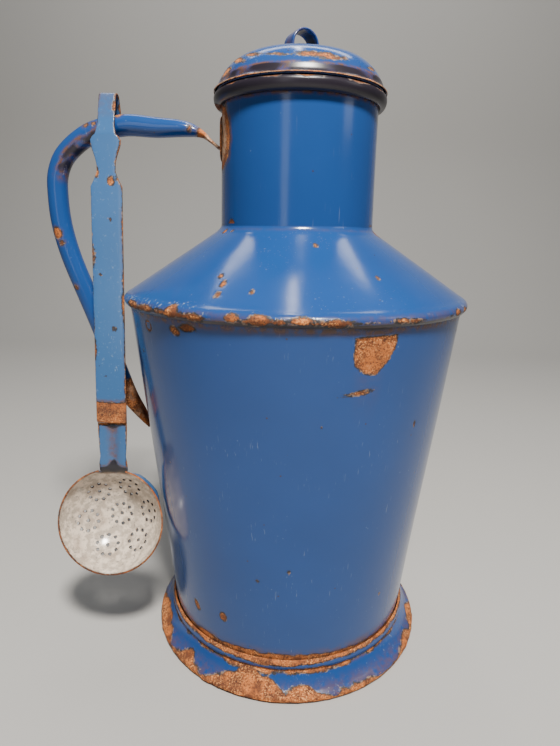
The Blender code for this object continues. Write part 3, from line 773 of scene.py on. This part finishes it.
def make_neck(material):
    """The straight neck, whose mouth is rolled outwards round a wire and worn bare; the rolled mouth is
    painted nearly black as the lid's shade, over a rusty stain.
    """
    roll = Vector((MOUTH_RADIUS - MOUTH_ROLL, MOUTH_TOP_Z - MOUTH_ROLL))
    low = NECK_BASE_Z - 0.006
    wall_top = neck_radius(roll.y)
    outside_deg = -math.degrees(math.acos((wall_top - roll.x) / MOUTH_ROLL))
    inside_deg = math.degrees(math.acos((wall_top - SHEET - roll.x) / MOUTH_ROLL))
    bead = [
        (r, max(z, roll.y) + min(z - roll.y, 0) * ROLL_DROP)
        for r, z in arc(roll, MOUTH_ROLL, 90, outside_deg, 22)
    ]
    outer = spaced([bead[-1], (neck_radius(low), low)], 0.0019)[1:]
    inner = spaced([(neck_radius(low) - SHEET, low), (wall_top - SHEET, roll.y)], 0.006)
    lip = arc(roll, MOUTH_ROLL, inside_deg, 96, 8)
    tube = Turned(np.concatenate([bead, outer, inner, lip]), 300, closed=True)
    points = tube.points
    height = points[:, 2]
    outside = (tube.faces_out > 0) | (height > roll.y - 0.01)

    bare_pad = [(-10, 10), (-4, 19), (10, 22), (24, 17), (30, 7), (31.5, -5), (29, -16), (17, -23), (-2, -18),
                (-10, -10)]
    pad_field = outlined_chip(points, on_can(HANDLE_SIDE, NECK_RADIUS, UPPER_PAD_Z), HANDLE_SIDE, bare_pad)
    field = add_chips(points, pad_field, lambda up: (neck_radius(up), up), (
        (-54, 334, 4, 3.4), (70, 333.5, 3, 1.6), (120, 360, 5, 7), (-150, 390, 4, 4),
    ))
    field = np.maximum(field, scattered_chips(points, neck_radius, 9, 31, (0.34, 0.405), 1, (75, 285)))
    worn = (height - roll.y) * 1000 - 2.4 + noise_at(points, 0.012, 32) * 3
    field = np.where(outside, ragged(points, np.maximum(field, worn), 0.6), FAR_OUTSIDE)

    # Painted shade of the lid's rim on the rolled mouth and just below it, nearly black, over some rusty
    # stain.
    mouth_shade_and_rust = smooth_step(height, roll.y - 0.0074, roll.y - 0.005) * (1.75 + 0.5 * noise_at(points, 0.016, 35))
    stain_and_shade = mouth_shade_and_rust + smooth_step(pad_field, -5, -0.5) * 0.8
    stain_and_shade = stain_and_shade + smooth_step(height, NECK_BASE_Z + 0.004, NECK_BASE_Z + 0.001) * 0.3
    rub = smooth_step(noise_at(points, 0.03, 33), 0.1, 0.6) * 0.3
    tube.sink(dents(points, 0.05, 0.00035, 34) * (height < roll.y - 0.008) + pits(field) * outside * 0.8)
    fields = wear(field, stain_and_shade * outside, rub)
    finish_piece(tube.piece("enamel_neck", fields), material, "blue_enamel", "can", "neck_tube")


def make_bottom_plate(material):
    """The dished plate let into the foot of the body."""
    flange = body_radius(0.0215) - SHEET - GAP - SHEET / 2
    path = from_here(0, 0, (0, 24), (40, 23.6), (76, 22))
    path += from_here(flange, 0, (-5, 20.6), (-1.5, 21.2), (0, 24), (0.4, 31))
    profile = sheet_profile(spaced(smooth_run(path, 10), 0.0025), SHEET, 0.0025, open_start=True)
    plate = Turned(profile, 144, closed=False)
    points = plate.points
    rusty = 1 + noise_at(points, 0.03, 41) * 5
    whole = noise_at(points, 0.025, 42) * 4 - 1.6
    fields = wear(np.where(plate.faces_up < 0, rusty, whole), 0.35 + 0.35 * noise_at(points, 0.03, 43), 0, 1)
    plate.sink(dents(points, 0.04, 0.0004, 44))
    finish_piece(plate.piece("pale_bottom", fields), material, "pale_enamel", "can", "bottom_plate")


# --- The handle ----------------------------------------------------------------------------------

# The handle's middle line in millimetres: distance from the can's axis, height, half height, half width.
HANDLE_STATIONS = [
    (59.2, 388.8, 1.5, 6.2), (65.5, 393.8, 1.7, 5), (72, 398.4, 3, 6.2), (84, 401.4, 5.6, 7.7),
    (105, 402.2, 7.2, 7.75), (130, 403.2, 7.75, 7.75), (155, 397.2, 7.75, 7.75), (173.5, 383.5, 7.75, 7.75),
    (181.5, 369, 7.75, 7.75), (183, 352, 7.75, 7.75), (181.5, 330, 7.75, 7.75), (175.5, 305, 7.75, 7.75),
    (164, 273, 7.75, 7.75), (150, 233, 7.75, 7.75), (137.4, 197.6, 7.3, 7.75), (127.5, 181, 4.8, 7.8),
    (119, 169.2, 1.5, 7),
]


def make_handle(material):
    """The bowed tube, pinched flat at both ends, with chips, brown stains, and painted shade over a rust
    stain under its upper bend.
    """
    sides = 44
    run = spaced(smooth_run(np.array(HANDLE_STATIONS) / 1000, 16), 0.0018)
    along = np.gradient(run[:, :2], axis=0)
    along /= np.linalg.norm(along, axis=1)[:, None]
    angles = np.radians(np.arange(sides) * 360 / sides)
    rise = run[:, 2:3] * np.cos(angles)
    grid = np.empty((len(run), sides, 3))
    grid[:, :, 0] = AXIS_X - (run[:, :1] - along[:, 1:2] * rise)
    grid[:, :, 1] = run[:, 3:4] * np.sin(angles)
    grid[:, :, 2] = run[:, 1:2] + along[:, :1] * rise
    middle = np.stack([AXIS_X - run[:, 0], np.zeros(len(run)), run[:, 1]], 1)
    points = grid.reshape(-1, 3)
    inward = np.repeat(middle, sides, 0) - points
    inward /= np.linalg.norm(inward, axis=1)[:, None]

    # Chips: how far from the axis, y, z and radius, in millimetres.
    field = np.full(len(points), FAR_OUTSIDE)
    for reach, y, z, radius in (
        (183.5, -8, 325.4, 4.2), (180, -7, 318, 2), (133, -2, 410, 4), (156, -5, 402, 2.2),
        (150, -6, 403, 1.6), (80, -6, 401, 2), (170, 7, 290, 4), (188, 3, 370, 3.2), (145, 7, 230, 3.6),
        (172, -7, 284, 1.8), (100, 6, 406, 3),
    ):
        gap = points * 1000 - np.array((AXIS_X * 1000 - reach, y, z))
        field = np.maximum(field, radius - np.linalg.norm(gap, axis=1))
    from_axis = run[:, 0].repeat(sides)
    height = run[:, 1].repeat(sides)
    upper_tongue = (0.0745 - from_axis) * 1200 * (height > 0.3) - 100 * (height < 0.3)
    lower_tongue = np.minimum((0.207 - height) * 1000, 5.6)
    tongues = np.maximum(upper_tongue, lower_tongue) * 0.8 + noise_at(points, 0.01, 51) * 2
    field = ragged(points, np.maximum(field, tongues), 0.7)

    # Under the upper bend the tube is nearly black: a rusty stain darkened further as painted shade.
    to_inside = inward[:, 2] * 0.75 - inward[:, 0] * 0.65
    bend_rust_and_shade = smooth_step(points[:, 0], -0.108, -0.12) * smooth_step(points[:, 2], 0.358, 0.374)
    bend_rust_and_shade = bend_rust_and_shade * smooth_step(to_inside, -0.35, 0.25)
    patchy = smooth_step(noise_at(points, 0.009, 52), -0.5, -0.05)
    stain_and_shade = bend_rust_and_shade * patchy * 1.45 + smooth_step(field, -3, -0.5) * 0.6
    rub = 0.25 + 0.45 * smooth_step(noise_at(points, 0.02, 53), 0, 0.5)
    depth = dents(points, 0.022, 0.00035, 54) + pits(field)
    grid = (points + inward * depth[:, None]).reshape(grid.shape)
    piece = cap_ends(grid_mesh("enamel_handle", grid, wear(field, stain_and_shade, rub, 1.5)))
    finish_piece(piece, material, "blue_enamel", "can", "handle_tube")


def cap_ends(thing):
    """Fill a tube's two open ends, and return it."""
    builder = bmesh.new()
    builder.from_mesh(thing.data)
    rims = [edge for edge in builder.edges if edge.is_boundary]
    bmesh.ops.holes_fill(builder, edges=rims, sides=0)
    bmesh.ops.recalc_face_normals(builder, faces=builder.faces)
    builder.to_mesh(thing.data)
    builder.free()
    return thing


def make_pad(name, node, radius_at, centre_z, half_width, half_height, material, seed):
    """A worn oval plate that lies on the can's wall behind one end of the handle."""
    rings = 14
    columns = 72
    grid = np.empty((2 * rings, columns, 3))
    angles = [math.radians(column * 360 / columns) for column in range(columns)]
    edge = [1 + 0.1 * noise.noise(Vector((math.cos(a), math.sin(a), seed)) * 1.6) for a in angles]
    for ring in range(2 * rings):
        front = ring < rings
        from_middle = ring if front else 2 * rings - 1 - ring
        share = min((from_middle + 0.05) / (rings - 0.95), 1.0)
        lift = GAP * 0.5 + (0.0011 * math.sqrt(max(1 - share ** 6, 0.0)) if front else 0.0)
        for column, angle in enumerate(angles):
            across = half_width * share * edge[column] * math.cos(angle)
            height = centre_z + half_height * share * edge[column] * math.sin(angle)
            radius = radius_at(height) + lift
            grid[ring, column] = on_can(HANDLE_SIDE + math.degrees(across / radius), radius, height)
    finish_piece(cap_ends(grid_mesh(name, grid, {})), material, "rusted_steel", "can", node)


# --- The lid -------------------------------------------------------------------------------------

def on_dome(down):
    """Radius and height of the lid's outside, so far below its top."""
    radius = np.interp(down, [0, 0.0094, 0.0142, 0.019, 0.023], [0, 0.049, 0.054, 0.0573, 0.059])
    return radius, LID_TOP_Z - down


def make_lid(material):
    """The domed cover: a worn ridge, a coved band painted nearly black as its shade, and a thin bright rim.
    """
    dome = from_here(
        0, LID_TOP_Z - SHEET / 2,
        (0, 0), (12, -0.2), (24, -1), (35, -2.8), (43, -5.3), (49, -8.8), (54, -13.6), (57.3, -18.4),
        (58.4, -20.6), (59, -22.4), (60.2, -24.2), (62, -25.3),
    )
    profile = sheet_profile(spaced(smooth_run(dome, 10), 0.001), SHEET, 0.003, open_start=True)
    lid = Turned(profile, 300, closed=False)
    points = lid.points
    drop = LID_TOP_Z - points[:, 2]
    outside = (lid.faces_up > 0.02) | (drop > 0.0252) & (lid.faces_out > -0.3)

    field = add_chips(points, np.full(len(points), FAR_OUTSIDE), on_dome, (
        (11, 14.1, 11.8, 1.7), (22, 15.4, 8, 1.2, 5), (2, 15, 5, 1, -4), (-18, 13.6, 7, 0.6, -8),
        (-52, 12.2, 8, 1.7, -17), (-38, 11.2, 5.5, 1, -13), (-60, 18.4, 6, 2.7), (57, 16, 4, 0.9, 10),
        (-110, 15, 12, 2.6), (150, 13.5, 13, 3), (100, 18, 10, 1.8), (-160, 11, 6, 3.6),
    ))
    field = ragged(points, field, 0.6)
    rim = np.clip((drop - 0.0251) * 9000 + 2.5, FAR_OUTSIDE, 7) + noise_at(points, 0.009, 61) * 2.4
    field = np.maximum(field, np.where(drop > 0.0244, rim, FAR_OUTSIDE))
    field = np.where(outside, field, -2 + noise_at(points, 0.02, 62) * 3)

    # Painted shade in the cove under the ridge, nearly black.
    cove_shade = smooth_step(drop, 0.0176, 0.0208) * smooth_step(drop, 0.0256, 0.0246)
    stain_and_shade = cove_shade * (1.35 + 0.75 * noise_at(points, 0.012, 63)) + smooth_step(drop, 0.011, 0.019) * 0.15
    rub = smooth_step(drop, 0.004, 0.013) * 0.3 + smooth_step(noise_at(points, 0.02, 64), 0.1, 0.6) * 0.4
    lid.sink(dents(points, 0.034, 0.0004, 65) + pits(field) * outside)
    fields = wear(field, stain_and_shade, rub * (cove_shade < 0.3))
    finish_piece(lid.piece("enamel_lid", fields), material, "blue_enamel", "lid", "lid_dome")


def make_collar(material):
    """The sleeve that centres the lid in the neck, with the flange that rests on the mouth."""
    sleeve = 0.0538
    flange = MOUTH_TOP_Z + GAP + SHEET / 2
    path = [(0.0594, flange)] + arc((sleeve + 0.0022, flange - 0.0022), 0.0022, 90, 180, 8)
    path += from_here(sleeve, flange, (0, -17), (-0.4, -20))
    ring = Turned(sheet_profile(spaced(path, 0.001), SHEET, 0.001), 240, closed=True)
    points = ring.points
    field = (flange - points[:, 2] - 0.018) * 700 + noise_at(points, 0.01, 71) * 2
    field = np.maximum(field, -2.2 + noise_at(points, 0.014, 72) * 3.6)
    fields = wear(ragged(points, field, 0.6), 0.35 + 0.4 * noise_at(points, 0.015, 73), 0.6, 1)
    finish_piece(ring.piece("enamel_collar", fields), material, "blue_enamel", "lid", "lid_collar")


def rounded_section(half_width, thickness, corners=4):
    """A flat bar's section with round edges, as (across, out) points."""
    half = thickness / 2
    right = arc((half_width - half, 0.0), half, 90, -90, corners * 2)
    left = arc((-half_width + half, 0.0), half, -90, -270, corners * 2)
    flats = 8
    top = [((-half_width + half) * (1 - 2 * step / flats), half) for step in range(1, flats)]
    bottom = [(-across, -out) for across, out in top]
    return top + right + bottom + left


def swept_bar(line, half_widths, thickness, level):
    """A flat bar along a line of points, with its width along a level direction."""
    line = np.array(line)
    along = np.gradient(line, axis=0)
    along /= np.linalg.norm(along, axis=1)[:, None]
    level = np.array(level)
    out = np.cross(along, level)
    rings = []
    for index, place in enumerate(line):
        section = rounded_section(half_widths[index], thickness)
        rings.append([place + level * across + out[index] * depth for across, depth in section])
    return np.array(rings)


def make_lid_strap(material):
    """The strap bent into a loop on the crown of the lid, darkened inside the loop as painted shade."""
    thickness = 0.0014
    radius = 0.0108 - thickness / 2
    seat = LID_TOP_Z + thickness / 2 + 0.0001
    centre_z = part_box("lid_strap")[1].z - thickness / 2 - radius
    foot = from_here(0, seat, (-18.8, -0.3), (-13.3, 0), (-10.7, 1.2))
    loop = arc((0, centre_z), radius, 180, 0, 16)
    flat = spaced(smooth_run(foot + loop + [(-y, z) for y, z in foot[::-1]], 4), 0.0008)
    turn = math.radians(30)
    line = [(AXIS_X + y * math.cos(turn), y * math.sin(turn), z) for y, z in flat]
    grid = swept_bar(line, [0.0068] * len(line), thickness, (-math.sin(turn), math.cos(turn), 0))
    points = grid.reshape(-1, 3)
    # Painted shade on the inner face of the loop.
    inside_loop_shade = np.linalg.norm(points - (AXIS_X, 0, centre_z), axis=1) < radius
    stain_and_shade = 0.35 + 0.5 * noise_at(points, 0.008, 82) + inside_loop_shade
    fields = wear(-2.4 + noise_at(points, 0.006, 81) * 3, stain_and_shade, 0.4, 1.6)
    piece = cap_ends(grid_mesh("enamel_lid_strap", grid, fields))
    finish_piece(piece, material, "blue_enamel", "lid", "lid_strap")


# --- The skimmer ---------------------------------------------------------------------------------

STRAP_LEAN = math.radians(6.5)
HOOK_HALF = 0.0063
HOOK_BEND = 0.0042
HOOK_TOP_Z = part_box("skimmer_strap")[1].z
HOOK_CLEARANCE = 0.0094
PIVOT_Z = next(joint for joint in frame["joints"] if joint["name"] == "skimmer_swing")["pos_m"][2]


def hook_spread():
    """How far the hook's two legs spread from upright, and how high its bend's centre is above the pivot."""
    rise = HOOK_TOP_Z - PIVOT_Z - HOOK_BEND - STRAP_SHEET / 2
    return math.asin((HOOK_CLEARANCE + STRAP_SHEET / 2 - HOOK_BEND) / rise), rise


def hook_leg(height):
    """Distance of a hook leg's middle line from the pivot's plane, at a height above the pivot."""
    spread, rise = hook_spread()
    return (HOOK_BEND + (rise - height) * math.sin(spread)) / math.cos(spread)


KNEE_Z = PIVOT_Z - 0.007
KNEE_Y = -hook_leg(-0.007)


def strap_line(height):
    """Where the leaning strap's middle is, front to back, at a height above the floor."""
    return KNEE_Y - (KNEE_Z - height) * math.tan(STRAP_LEAN)


def make_strap(material):
    """The hook, lobe, waist and straight shank of the skimmer's strap, rusty along its edges."""
    spread, rise = hook_spread()
    spread_deg = math.degrees(spread)
    stations = []
    for up, half in ((-0.004, 0.0046), (-0.002, 0.0056), (0.004, 0.006)):
        stations.append((hook_leg(up), PIVOT_Z + up, half))
    for y, z in arc((0, rise), HOOK_BEND, spread_deg, 180 - spread_deg, 10):
        stations.append((y, PIVOT_Z + z, HOOK_HALF))
    for up in (0.006, 0):
        stations.append((-hook_leg(up), PIVOT_Z + up, HOOK_HALF))
    # Below the hook: height and half width, in millimetres.
    lower = [
        (395.5, 7.4), (393.5, 9.8), (391, 11.2), (387.5, 10.9), (383, 9.4), (379, 8), (375, 7.1), (371, 6.9),
        (369.5, 6.9), (364, 9), (359, 11.7), (356, 11.7), (240, 11.7), (185, 11.7), (183.2, 10.9),
    ]
    stations += [(strap_line(z), z, half) for z, half in np.array(lower) / 1000]
    run = spaced(stations, 0.0011)
    line = [(HOOK_X, y, z) for y, z, _ in run]
    grid = swept_bar(line, run[:, 2], STRAP_SHEET, (1, 0, 0))
    points = grid.reshape(-1, 3)
    height = points[:, 2]
    wave = noise_at(points * np.array((0.4, 0, 1)), 0.045, 91) * 0.00018
    below = smooth_step(height, 0.385, 0.36) * smooth_step(height, 0.183, 0.2)
    grid[:, :, 1] += (wave * below).reshape(grid.shape[:2])

    across = np.abs(points[:, 0] - HOOK_X)
    half = np.repeat(run[:, 2], grid.shape[1])
    edge = (across - half) * 1000 - 0.15 + noise_at(points, 0.012, 92) * 0.75
    edge = edge + np.where(points[:, 0] > HOOK_X, 0.35, -0.25)
    field = edge
    # Chips: how far aside, height, half width and half height, in millimetres.
    for aside, up, half_width, half_height in (
        (3.4, 362.5, 2.4, 3.4), (-7.2, 369, 1.6, 3.4), (4, 256, 1.5, 2.2), (-6, 296, 1.2, 1),
        (2, 336, 0.8, 1), (-4, 220, 1, 1.2), (6, 415, 1.8, 3), (-10.4, 310, 1.2, 6), (11.2, 275, 1.2, 8),
        (-11.2, 240, 1, 6),
    ):
        spot = (HOOK_X + aside / 1000, strap_line(up / 1000), up / 1000)
        field = np.maximum(field, oval_chip(points, spot, half_width, half_height))
    lap = np.minimum(8.2 - np.abs(height - 0.1915) * 1000, RUSTY_DEPTH) + noise_at(points, 0.007, 93) * 1.6
    field = ragged(points, np.maximum(field, lap), 0.5)
    stain_and_shade = smooth_step(lap, -5, 0) * (1.1 + 0.5 * noise_at(points, 0.008, 95))
    stain_and_shade = stain_and_shade + smooth_step(edge, -1.4, 0) * 0.5 + smooth_step(height, 0.404, 0.412) * 0.35
    rub = 0.2 + 0.35 * smooth_step(noise_at(points, 0.014, 94), 0, 0.5)
    grid[:, :, 1] += (pits(field) * 0.4).reshape(grid.shape[:2])
    piece = cap_ends(grid_mesh("enamel_strap", grid, wear(field, stain_and_shade, rub, 1.5)))
    finish_piece(piece, material, "strap_enamel", "skimmer", "skimmer_strap")


def bowl_matrix():
    """Place of the bowl, whose own +Z points out of its mouth and whose own origin is the rim's middle."""
    return Matrix.Translation(BOWL_CENTRE) @ Matrix.Rotation(math.pi / 2 - BOWL_TILT, 4, "X")


def bowl_holes(ball):
    """Ways from the ball's centre through the holes: seven rosettes of nine round one."""
    poles = [Matrix.Identity(3)]
    for index in range(6):
        turn = Matrix.Rotation(math.radians(11) + index * math.tau / 6, 3, "Z")
        poles.append(turn @ Matrix.Rotation(-math.radians(37), 3, "Y"))
    ways = []
    for pole in poles:
        for u, v in [(0.0, 0.0)] + arc((0.0, 0.0), 0.0085, 0, 320, 8):
            ways.append((pole @ Vector((u, v, -ball))).normalized())
    return ways


def tang_half(height):
    """Half width of the tang at a height above the floor."""
    return float(np.interp(height, [0.15, 0.156, 0.164, 0.176], [0.011, 0.01, 0.0106, 0.0112]))


NOTCH_COLUMNS = 6
NOTCH_RING = 29


def bowl_shell(builder, ball):
    """Rings of vertices of the bowl, joined up but for the notch in the rim where the tang leaves."""
    columns = 144
    rings = 34
    edge = math.asin(BOWL_RADIUS / ball)
    place = bowl_matrix()
    shell = []
    for ring in range(1, rings):
        polar = edge * ring / (rings - 1)
        row = []
        for column in range(columns):
            angle = math.tau * column / columns
            from_top = min(column, columns - column) * 360 / columns
            side = 1.0 if column < columns / 2 else 0.35
            window = smooth_step(from_top, 13, 30) * smooth_step(from_top, 78, 52)
            bulge = 0.0032 * side * window * hump(polar / edge - 0.86, 0.085)
            reach = (ball + bulge) * math.sin(polar)
            height = ball - BOWL_DEPTH - (ball + bulge) * math.cos(polar)
            spot = Vector((reach * math.sin(angle), reach * math.cos(angle), height))
            row.append(builder.verts.new(place @ spot))
        shell.append(row)
    pole = builder.verts.new(place @ Vector((0.0, 0.0, -BOWL_DEPTH)))
    for column in range(columns):
        following = (column + 1) % columns
        builder.faces.new((pole, shell[0][column], shell[0][following]))
        in_notch = column < NOTCH_COLUMNS or column >= columns - NOTCH_COLUMNS
        last = NOTCH_RING if in_notch else len(shell)
        for upper, lower in zip(shell[:last], shell[1:last]):
            builder.faces.new((upper[column], lower[column], lower[following], upper[following]))
    return shell


def tang_rows(builder, start):
    """Rows of vertices of the grooved tang, from the bowl's wall up behind the strap."""
    rows = [start]
    for height in np.linspace(0.1462, 0.2006, 46):
        half = tang_half(height)
        flat_y = strap_line(height) + STRAP_SHEET + GAP
        row = []
        for index in range(len(start)):
            across = index / NOTCH_COLUMNS - 1.0
            sink = 0.0024 * hump(across, 0.42)
            row.append(builder.verts.new((HOOK_X + across * half, flat_y + sink, height)))
        rows.append(row)
    for upper, lower in zip(rows, rows[1:]):
        for left, right, far, near in zip(upper, upper[1:], lower[1:], lower):
            builder.faces.new((left, right, far, near))
    return rows


def make_bowl(material):
    """The perforated bowl, pressed in one sheet with the grooved tang that laps behind the strap."""
    ball = (BOWL_RADIUS ** 2 + BOWL_DEPTH ** 2) / (2 * BOWL_DEPTH)
    builder = bmesh.new()
    shell = bowl_shell(builder, ball)
    picks = range(-NOTCH_COLUMNS, NOTCH_COLUMNS + 1)
    rows = tang_rows(builder, [shell[NOTCH_RING - 1][pick] for pick in picks])
    joint = [row[pick] for row in shell[NOTCH_RING - 4:NOTCH_RING] for pick in picks[1:-1]]
    joint += [vert for row in rows[1:5] for vert in row]
    for _ in range(12):
        bmesh.ops.smooth_vert(builder, verts=joint, factor=0.5, use_axis_y=True, use_axis_z=True)
    loose = [vert for vert in builder.verts if not vert.link_faces]
    bmesh.ops.delete(builder, geom=loose, context="VERTS")
    bmesh.ops.recalc_face_normals(builder, faces=builder.faces)
    mesh = bpy.data.meshes.new("bowl_sheet")
    builder.to_mesh(mesh)
    builder.free()
    bowl = new_object("enamel_bowl", mesh)
    thicken(bowl, BOWL_SHEET)
    cut_holes(bowl, bowl_holes(ball), ball)
    finish_bowl(bowl, ball)
    finish_piece(bowl, material, "pale_enamel", "skimmer", "skimmer_bowl")


def apply_modifiers(thing):
    """Replace an object's mesh with what its modifiers make of it."""
    graph = bpy.context.evaluated_depsgraph_get()
    mesh = bpy.data.meshes.new_from_object(thing.evaluated_get(graph))
    thing.modifiers.clear()
    thing.data = mesh


def thicken(thing, thickness):
    """Give a surface the thickness of its sheet, half of it on each side."""
    solidify = thing.modifiers.new("sheet", "SOLIDIFY")
    solidify.thickness = thickness
    solidify.offset = 0.0
    solidify.use_even_offset = True
    apply_modifiers(thing)


def cut_holes(thing, ways, ball):
    """Cut a round hole along each way from the middle of the bowl's ball."""
    place = bowl_matrix()
    centre = Vector((0, 0, ball - BOWL_DEPTH))
    builder = bmesh.new()
    for way in ways:
        aim = Vector((0, 0, 1)).rotation_difference(way).to_matrix().to_4x4()
        bmesh.ops.create_cone(
            builder, cap_ends=True, segments=14, radius1=HOLE_RADIUS, radius2=HOLE_RADIUS,
            depth=BOWL_SHEET * 5, matrix=place @ Matrix.Translation(centre + way * ball) @ aim,
        )
    mesh = bpy.data.meshes.new("hole_cutter")
    builder.to_mesh(mesh)
    builder.free()
    cutter = new_object("hole_cutter", mesh)
    boolean = thing.modifiers.new("holes", "BOOLEAN")
    boolean.operation = "DIFFERENCE"
    boolean.solver = "EXACT"
    boolean.object = cutter
    apply_modifiers(thing)
    bpy.data.objects.remove(cutter)
    bpy.data.meshes.remove(mesh)


def read_vertices(mesh, what):
    """One vector for each vertex of a mesh, as an array."""
    values = np.empty(len(mesh.vertices) * 3)
    mesh.vertices.foreach_get(what, values)
    return values.reshape(-1, 3)


def finish_bowl(thing, ball):
    """Wear numbers for the bowl: rust on its rim and round its holes, painted shade in the tang's groove and
    on the lining under the notch, and which side is its inside.
    """
    mesh = thing.data
    points = read_vertices(mesh, "co")
    local = np.linalg.inv(np.array(bowl_matrix()))
    own = points @ local[:3, :3].T + local[:3, 3]
    from_centre = own - np.array((0, 0, ball - BOWL_DEPTH))
    below_rim = -own[:, 2] * 1000
    across = np.abs(points[:, 0] - HOOK_X)
    height = points[:, 2]
    outward = np.sum(read_vertices(mesh, "normal") @ local[:3, :3].T * from_centre, axis=1)

    on_tang = (own[:, 1] > 0) & (across < 0.0118) & (height > 0.1465)
    rim = 0.55 - np.maximum(below_rim, 0) * 1.3 + noise_at(points, 0.01, 101) * 0.6
    field = np.where(on_tang, -2, rim)
    directions = from_centre / np.linalg.norm(from_centre, axis=1)[:, None]
    for way in bowl_holes(ball):
        gap = np.linalg.norm(directions - np.array(way), axis=1) * ball
        field = np.maximum(field, (HOLE_RADIUS - gap) * 1000 - 0.3)
    tang_edge = (across - 0.0108) * 1000 + noise_at(points, 0.008, 102) * 0.7
    lapped = (height - 0.1815) * 1000 + noise_at(points, 0.006, 103) * 1.5
    field = np.where(on_tang, np.maximum(field, np.maximum(tang_edge, lapped)), field)
    field = np.clip(field, FAR_OUTSIDE, -FAR_OUTSIDE)

    groove = hump(across, 0.004)
    lining = smooth_step(height, 0.1452 - 0.003 * groove, 0.1425 - 0.003 * groove)
    lining = lining * smooth_step(outward, 0.01, -0.01)
    # Painted shade, nearly black, on the lining just under the tang's notch.
    shade = smooth_step(height, 0.15 + 0.007 * groove, 0.1455) * smooth_step(height, 0.1385, 0.143)
    shade = shade * smooth_step(across, 0.0125, 0.0105) * (outward < 0)
    # Along the tang's groove a brown stain is darkened further as painted shade.
    stain_and_shade = groove * on_tang * (0.85 + 0.6 * noise_at(points, 0.006, 104)) + shade * 1.8
    stain_and_shade = stain_and_shade + smooth_step(lapped, -4, 0) * 0.6 * on_tang
    stain_and_shade = np.where(on_tang, stain_and_shade, stain_and_shade + smooth_step(below_rim, 3, 0.5) * 0.25)
    set_fields(mesh, {**wear(field, stain_and_shade, 0.25, 1.8), "inside": lining})
    mesh.shade_smooth()
    mesh.set_sharp_from_angle(angle=math.radians(40))


# --- The stage -----------------------------------------------------------------------------------

def make_stage():
    """A pale floor that curves up into a pale backdrop, in one sheet."""
    profile = [(-3.0, 0.0), (1.1, 0.0)] + arc((1.1, 0.7), 0.7, -90, 0, 24) + [(1.8, 3.0)]
    run = spaced(profile, 0.05)
    across = np.linspace(-3.0, 3.0, 61)
    grid = np.empty((len(run), len(across), 3))
    grid[:, :, 0] = across
    grid[:, :, 1] = run[:, :1]
    grid[:, :, 2] = run[:, 1:2] - 0.0002
    floor = grid_mesh("studio_sweep", grid, {}, close_columns=False)
    floor.data.materials.append(stage_material("studio paper", (0.38, 0.372, 0.357)))


def soft_light(name, place, aim, size, power, colour=(1.0, 1.0, 1.0)):
    """A rectangular soft box that faces a point."""
    light = bpy.data.lights.new(name, "AREA")
    light.shape = "RECTANGLE"
    light.size, light.size_y = size
    light.energy = power
    light.color = colour
    thing = new_object(name, light)
    thing.location = place
    thing.rotation_euler = (Vector(aim) - Vector(place)).to_track_quat("-Z", "Y").to_euler()


def make_lights():
    """A high key from the front right, three narrow strips for the gloss, and a dim world."""
    middle = (AXIS_X, 0.0, 0.24)
    soft_light("key", (0.18, -0.76, 1.46), middle, (0.22, 0.22), 57.0, (1.0, 0.96, 0.9))
    soft_light("right strip", (0.9, -0.3, 0.8), middle, (0.26, 0.5), 0.8)
    soft_light("left strip", (-0.4, -1.3, 0.62), middle, (0.24, 0.8), 1.0)
    soft_light("overhead strip", (0.0, 0.52, 1.9), middle, (0.07, 0.6), 2.4)
    soft_light("back wash", (0.0, 1.05, 2.05), (0.0, 1.6, 0.3), (1.8, 0.5), 15.0)
    world = bpy.data.worlds.new("studio")
    world.use_nodes = True
    background = world.node_tree.nodes["Background"]
    background.inputs["Color"].default_value = (0.88, 0.94, 1.0, 1.0)
    background.inputs["Strength"].default_value = 0.12
    bpy.context.scene.world = world


def make_camera():
    """The camera stands in front of the can at shoulder height and looks down a little."""
    distance = 0.4203
    height = 0.328
    pan = Matrix.Rotation(math.radians(1.41), 4, "Z")
    tilt = Matrix.Rotation(math.radians(90 - 14.73), 4, "X")
    roll = Matrix.Rotation(math.radians(1.21), 4, "Z")
    camera = bpy.data.cameras.new("camera")
    camera.lens = 25.48
    camera.sensor_width = 36.0
    camera.clip_start = 0.01
    camera.clip_end = 20.0
    thing = new_object("camera", camera)
    thing.matrix_world = Matrix.Translation((AXIS_X, -distance, height)) @ pan @ tilt @ roll
    bpy.context.scene.camera = thing


make_camera()
make_stage()
make_lights()

blue = enamel_material("blue enamel", BLUE)
strap_blue = enamel_material("strap enamel", STRAP_BLUE, speckle=0.35)
bowl_enamel = enamel_material("bowl enamel", STRAP_BLUE, speckle=0.2, inside=PALE_ENAMEL)
pale = enamel_material("pale enamel", PALE_ENAMEL)
pad_steel = steel_material("pad steel", 0.05)
wire_steel = steel_material("wire steel", -0.08)

make_body(blue)
make_foot(blue)
make_shoulder(blue)
make_neck(blue)
make_bottom_plate(pale)
make_handle(blue)
make_pad("steel_upper_pad", "handle_upper_pad", neck_radius, UPPER_PAD_Z, 0.015, 0.0155, pad_steel, 1.0)
make_pad("steel_lower_pad", "handle_lower_pad", body_radius, 0.176, 0.012, 0.017, pad_steel, 4.0)
make_lid(blue)
make_collar(blue)
make_lid_strap(blue)
make_strap(strap_blue)
make_bowl(bowl_enamel)
for node in ("foot_wire", "mouth_wire"):
    wire = frame["nodes"][node]
    wire.data.materials.clear()
    wire.data.materials.append(wire_steel)
